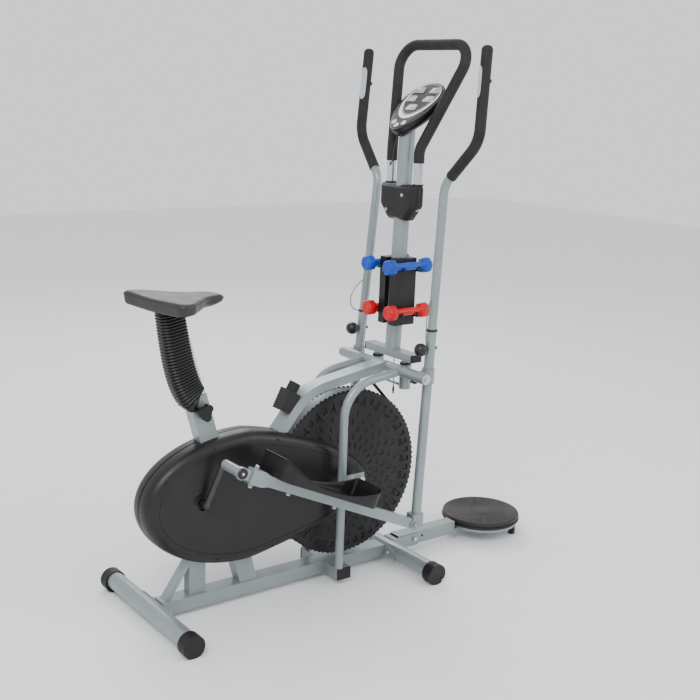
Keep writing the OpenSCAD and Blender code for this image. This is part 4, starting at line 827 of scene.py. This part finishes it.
for cx, cy in console["windows"]:
    w, h = console["windowSize"][0]/2, console["windowSize"][1]/2
    box = roundPolygon([(-w, -h - 0.002), (w, -h + 0.002), (w, h - 0.002), (-w, h + 0.002)], 0.003, 4)
    frames.append(consoleSkin(box, [(-0.003, 0.0018), (-0.003, 0.0035), (-0.0022, 0.0042),
                                    (-0.0006, 0.0042), (0.0004, 0.0034), (0.0006, 0.0028)], (cx, cy)))
    glasses.append(consoleSkin(box, [(0.0003, 0.0020), (0.0003, 0.0036), (0.0010, 0.0038)], (cx, cy)))
addPiece("displayFrames", frames, "consoleSilver", "frame")
addPiece("displayGlass", glasses, "displayGlass", "frame")
keyRings = []
for cx, cy in [(-0.069, 0.024), (-0.082, 0.002), (-0.071, -0.020)]:
    a = np.linspace(0, 2*np.pi, 32, endpoint=False)
    ringLine = 0.0085*np.column_stack([np.cos(a), np.sin(a)])
    p = np.array(console["at"]) + cx*np.array(consoleX) + np.array([0, cy, 0])
    keyRings.append(skinOf(loftOutline(ringLine, [(0, 0.0012), (0, 0.0030), (0.0010, 0.0036),
                    (0.0024, 0.0030), (0.0024, 0.0012)], p, consoleX, (0, 1, 0), consoleZ), loopU=True))
addPiece("keyRings", keyRings, "whitePrint", "frame")
print("console made")


# Knobs: the two ball knobs on the arms

pivot = {"x": 0.11305, "z": 0.6205, "turns": {-1: math.radians(-0.39331), 1: math.radians(2.13294)},
         "off": 0.036, "slope": math.tan(math.radians(2.9))}


def onArm(side, x, y, z):
    # a point of the arm as drawn upright, turned about the pivot to where the arm rests
    t = pivot["turns"][side]
    x, y, z = (np.asarray(v, float) for v in (x, y, z))
    return np.stack(np.broadcast_arrays(pivot["x"] + x*math.cos(t) + z*math.sin(t), side*y,
                    pivot["z"] - x*math.sin(t) + z*math.cos(t)), -1)


def ballRows(radius, stem, out):
    # from the stem's end round the ball to its far pole
    a = np.linspace(math.asin(stem/radius), math.pi - 0.02, 28)
    return [(stem, out)] + [(radius*math.sin(t), radius*math.cos(t)) for t in a]


for name, side, node, body in (("rightArmBall", -1, "right_arm_knob", "right_lock"),
                               ("leftArmBall", 1, "left_arm_knob", "left_lock")):
    t = pivot["turns"][side]
    axis, up = (math.cos(t), 0, -math.sin(t)), (math.sin(t), 0, math.cos(t))
    at = pivot["off"] + 0.079*pivot["slope"]
    middle = onArm(side, at - 0.0143 - 0.022, 0.165, 0.079)
    ball = skinOf(turnedRows(ballRows(0.019, 0.007, 0.026), middle, (0, 1, 0), up, axis, 48))
    shank = [(0.0, -0.012), (0.0048, -0.012), (0.0048, 0.058), (0.0045, 0.0585), (0.0, 0.0585)]
    post = skinOf(turnedRows(shank[1:-1], middle, (0, 1, 0), up, axis, 24))
    nut = [(0.0078, 0.0372), (0.0082, 0.0380), (0.0082, 0.0422), (0.0075, 0.0432)]
    hexagon = skinOf(turnedRows(nut, middle, (0, 1, 0), up, axis, 6))
    addPiece(name, [ball, post, hexagon], "knobPlastic", body, [node], crease=40)


# Pulse plates: thin bright shells that lie on the foam, on the inner and rider's side of each grip

def platePatch(side):
    # share u along the grip and angle v round it; the corners are rounded off by the two ends
    t = pivot["turns"][side]
    x0 = pivot["off"] + 0.542*pivot["slope"]
    lo, hi = (0.782, 0.866) if side < 0 else (0.768, 0.862)
    u = np.linspace(lo, hi, 25)
    x = x0 + 0.012 + 0.012*(u - 0.666)/(0.913 - 0.666)
    reach = 0.62*np.sqrt(np.clip(1 - (2*(u - lo)/(hi - lo) - 1)**6, 0.04, 1))
    v = np.linspace(-1, 1, 17)[None, :]*reach[:, None]
    facing = math.radians(200)
    grids = []
    for r in (0.0151, 0.0165):
        grids.append(onArm(side, x[:, None] + r*np.cos(v + facing), 0.281 + r*np.sin(v + facing),
                           np.repeat(u[:, None], 17, 1)))
    lower, upper = grids
    return skinOf(np.concatenate([upper, lower[::-1]]), loopU=True, loopV=False), \
        skinOf(np.stack([upper[:, 0], lower[:, 0]]), loopV=False), \
        skinOf(np.stack([upper[:, -1], lower[:, -1]]), loopV=False)


for name, side, body in (("rightPulsePlate", -1, "right_arm_unit"), ("leftPulsePlate", 1, "left_arm_unit")):
    addPiece(name, list(platePatch(side)), "brightChrome", body)


# Foam: one smooth sleeve on each handle, round at its top, and one round the fixed loop

foam = {"radius": 0.0155, "soft": 0.002, "dome": 0.0125, "low": 0.063, "bend": 0.101, "rise": 0.393,
        "legY": 0.061, "wideY": 0.163, "fore": 0.098, "lowTurn": 0.060, "highTurn": 0.056}
grip = {"foot": 0.542, "knee": 0.666, "top": 0.9185, "footY": 0.165, "y": 0.281, "lean": 0.012,
        "footTurn": 0.060, "kneeTurn": 0.090, "start": 0.008}


def bendPath(corners, radii, step=0.004):
    # straight runs joined by arcs in space: a rational curve with weight cos(half the turn)
    p = [np.array(c, float) for c in corners]
    line = [p[0]]
    for k in range(1, len(p) - 1):
        u, v = p[k] - p[k - 1], p[k + 1] - p[k]
        u, v = u/np.linalg.norm(u), v/np.linalg.norm(v)
        half = math.acos(max(-1, min(1, float(u @ v))))/2
        cut = radii[k - 1]*math.tan(half)
        a, b, w = p[k] - cut*u, p[k] + cut*v, math.cos(half)
        t = np.linspace(0, 1, 14)[:, None]
        arc = ((1 - t)**2*a + 2*t*(1 - t)*w*p[k] + t**2*b)/((1 - t)**2 + 2*t*(1 - t)*w + t**2)
        line += list(arc)
    line.append(p[-1])
    line = np.array(line)
    at = np.concatenate([[0], np.cumsum(np.linalg.norm(np.diff(line, axis=0), axis=1))])
    want = np.linspace(0, at[-1], int(at[-1]/step))
    return np.column_stack([np.interp(want, at, line[:, k]) for k in range(3)])


def foamSkin(path, radius, roundStart, roundEnd, side):
    # the radius closes as a quarter circle over each end's own rounding length
    gap = np.concatenate([[0], np.cumsum(np.linalg.norm(np.diff(path, axis=0), axis=1))])
    extra = np.array([0.0003, 0.001, 0.002])
    ends = np.unique(np.concatenate([gap, extra, gap[-1] - extra]))
    line = np.column_stack([np.interp(ends, gap, path[:, k]) for k in range(3)])

    def close(d, length):
        share = np.clip(1 - d/length, 0, 1)
        return np.sqrt(np.clip(1 - share**2, 0, 1))
    r = radius - (1 - close(ends, roundStart))*roundStart - (1 - close(gap[-1] - ends, roundEnd))*roundEnd
    a = np.linspace(0, 2*np.pi, 40, endpoint=False)
    circle = np.column_stack([np.cos(a), np.sin(a)])
    return skinOf(carryProfile(line, circle[None]*np.maximum(r, 0.0012)[:, None, None], side))


for name, side, node, body in (("rightFoamGrip", -1, "right_grip", "right_arm_unit"),
                               ("leftFoamGrip", 1, "left_grip", "left_arm_unit")):
    x1 = pivot["off"] + grip["foot"]*pivot["slope"]
    bends = [np.array([x1, grip["footY"], grip["foot"]]),
             np.array([x1 + grip["lean"], grip["y"], grip["knee"]]),
             np.array([x1 + 2*grip["lean"], grip["y"], grip["top"]])]
    way = (bends[1] - bends[0])/np.linalg.norm(bends[1] - bends[0])
    start = bends[0] + (grip["footTurn"]*math.tan(math.acos(way[2])/2) + grip["start"])*way
    path = bendPath([start, bends[1], bends[2]], [grip["kneeTurn"]])
    addPiece(name, [foamSkin(onArm(side, path[:, 0], path[:, 1], path[:, 2]), foam["radius"],
             foam["soft"], foam["dome"], (1, 0.02, 0))], "gripFoam", body, [node], crease=60)
legX, clampTop, legY, wideY = clamp["legX"], clamp["top"], foam["legY"], foam["wideY"]
loopTop, loopX = clampTop + foam["rise"], legX + foam["fore"]
loopPath = bendPath([(legX, -legY, clampTop + foam["low"]), (legX, -legY, clampTop + foam["bend"]),
                     (loopX, -wideY, loopTop), (loopX, wideY, loopTop),
                     (legX, legY, clampTop + foam["bend"]), (legX, legY, clampTop + foam["low"])],
                    [foam["lowTurn"], foam["highTurn"], foam["highTurn"], foam["lowTurn"]])
addPiece("loopFoam", [foamSkin(loopPath, foam["radius"], foam["soft"], foam["soft"], (1, 0, 0.13))],
         "gripFoam", "frame", ["loop_grip"], crease=60)


# Bands, caps and bolt heads

armBand = {"y": 0.165, "z": 0.130, "foot": 0.1295,
           "rows": [(0.0127, 0.0), (0.0160, 0.0), (0.0166, 0.001), (0.0166, 0.0045),
                    (0.0158, 0.0055), (0.0128, 0.0058)]}
gripBand = {"y": 0.281, "z": {-1: 0.826, 1: 0.815}, "shift": 0.0225,
            "rows": [(0.0149, -0.005), (0.0169, -0.0045), (0.0171, 0.0), (0.0169, 0.0045),
                     (0.0149, 0.005)]}
sleeveCap = {"y": 0.180, "bolt": 0.1836,
             "rows": [(0.0138, 0.0), (0.0146, 0.0006), (0.0146, 0.0026), (0.0134, 0.0040),
                      (0.0095, 0.0046), (0.0090, 0.0036), (0.0040, 0.0036)]}
# along the bar, up or down, and distance from its axis
barBolts = {"y": 0.165, "spots": ((0.047, 1, 0.028), (0.047, -1, 0.028), (0.175, -1, 0.020),
                                  (0.345, -1, 0.020))}


def domedBolt(at, axis, side, up, radius, tall):
    rows = [(radius, -0.001), (radius, 0.3*tall), (0.93*radius, 0.62*tall), (0.7*radius, 0.9*tall),
            (0.35*radius, tall)]
    return skinOf(turnedRows(rows, at, side, up, axis, 24))


for name, side, body in (("right", -1, "right_arm_unit"), ("left", 1, "left_arm_unit")):
    t = pivot["turns"][side]
    xAxis, zAxis = (math.cos(t), 0, -math.sin(t)), (math.sin(t), 0, math.cos(t))
    at = pivot["off"] + armBand["z"]*pivot["slope"]
    band = turnedRows(armBand["rows"], onArm(side, at, armBand["y"], armBand["foot"]), xAxis,
                      (0, 1, 0), zAxis, 48)
    addPiece(f"armBand.{name}", [skinOf(band)], "blackPlastic", body)
    at = pivot["off"] + grip["foot"]*pivot["slope"] + gripBand["shift"]
    band = turnedRows(gripBand["rows"], onArm(side, at, gripBand["y"], gripBand["z"][side]), xAxis,
                      (0, 1, 0), zAxis, 48)
    addPiece(f"gripBand.{name}", [skinOf(band)], "gripFoam", body)
for name, side, body in (("right", -1, "right_bar_unit"), ("left", 1, "left_bar_unit")):
    origin, x, z = (np.array(v) for v in alongBar(side))
    out = np.array([0, side, 0])
    cap = turnedRows(sleeveCap["rows"], origin + sleeveCap["y"]*out, x, z, out, 48)
    addPiece(f"sleeveCap.{name}", [skinOf(cap)], "knobPlastic", body)
    heads = [domedBolt(origin + sleeveCap["bolt"]*out, out, x, z, 0.0046, 0.0032)]
    heads += [domedBolt(origin + barBolts["y"]*out + s*x + h*z*k, h*z, x, out, 0.0060, 0.0040)
              for s, h, k in barBolts["spots"]]
    addPiece(f"barBolts.{name}", heads, "zincSteel", body)
print("knobs and plates made")


# Twist disc: a rolled edge, rings of raised ridges cut by spokes, and a plain middle

disc = {"centre": (0.55605, 0), "base": 0.046}


def discSkin():
    r = np.concatenate([[0.024, 0.030, 0.0305], np.arange(0.036, 0.112, 0.0022), [0.1135, 0.1145,
                        0.1185, 0.1215, 0.1238, 0.1250, 0.1254, 0.1254, 0.1246]])
    a = np.linspace(0, 2*np.pi, 360, endpoint=False)
    rr, aa = np.meshgrid(r, a, indexing="ij")
    z = np.interp(r, [0.024, 0.030, 0.0305, 0.112, 0.1145, 0.1185, 0.1215, 0.1238, 0.1250, 0.1254],
                  [0.0268, 0.0268, 0.0262, 0.0262, 0.0268, 0.0268, 0.0260, 0.0245, 0.0222, 0.0190])
    z[-2], z[-1] = 0.0140, 0.0127
    ridge = 0.0014*np.clip(2.2*np.sin(rr*2*np.pi/0.0088), 0, 1)*(rr > 0.034)*(rr < 0.113)
    spokes = np.clip(6*np.abs(np.sin(10*aa)) - 0.35, 0, 1)
    zz = np.repeat(z[:, None], len(a), 1) + ridge*spokes
    x0, y0 = disc["centre"]
    return skinOf(np.stack([x0 + rr*np.cos(aa), y0 + rr*np.sin(aa), disc["base"] + zz], -1))


addPiece("twistTop", [discSkin()], "discPlastic", "twist_unit", ["twist_disc"], crease=40)
baseRows = [(0.020, 0.0004), (0.1190, 0.0004), (0.1225, 0.0020), (0.1232, 0.0048), (0.1262, 0.0054),
            (0.1272, 0.0075), (0.1274, 0.0105), (0.1266, 0.0119), (0.1215, 0.0119), (0.020, 0.0119)]
addPiece("twistLowerRing", [skinOf(turnedRows(baseRows, (*disc["centre"], disc["base"]), (1, 0, 0),
         (0, 1, 0), (0, 0, 1), 160))], "blackPlastic", "frame", ["twist_base"], crease=40)
print("twist disc made")


# Floor, as a wide slab that isn't part of the trainer

floorGrid = np.array([[(-9, -9, 0), (9, -9, 0), (9, 9, 0), (-9, 9, 0)]], float)
floorMesh = bpy.data.meshes.new("floor")
floorMesh.from_pydata(floorGrid[0].tolist(), [], [[0, 1, 2, 3]])
floorMesh.materials.append(mats["floorPaper"])
floor = bpy.data.objects.new("floor", floorMesh)
bpy.context.scene.collection.objects.link(floor)
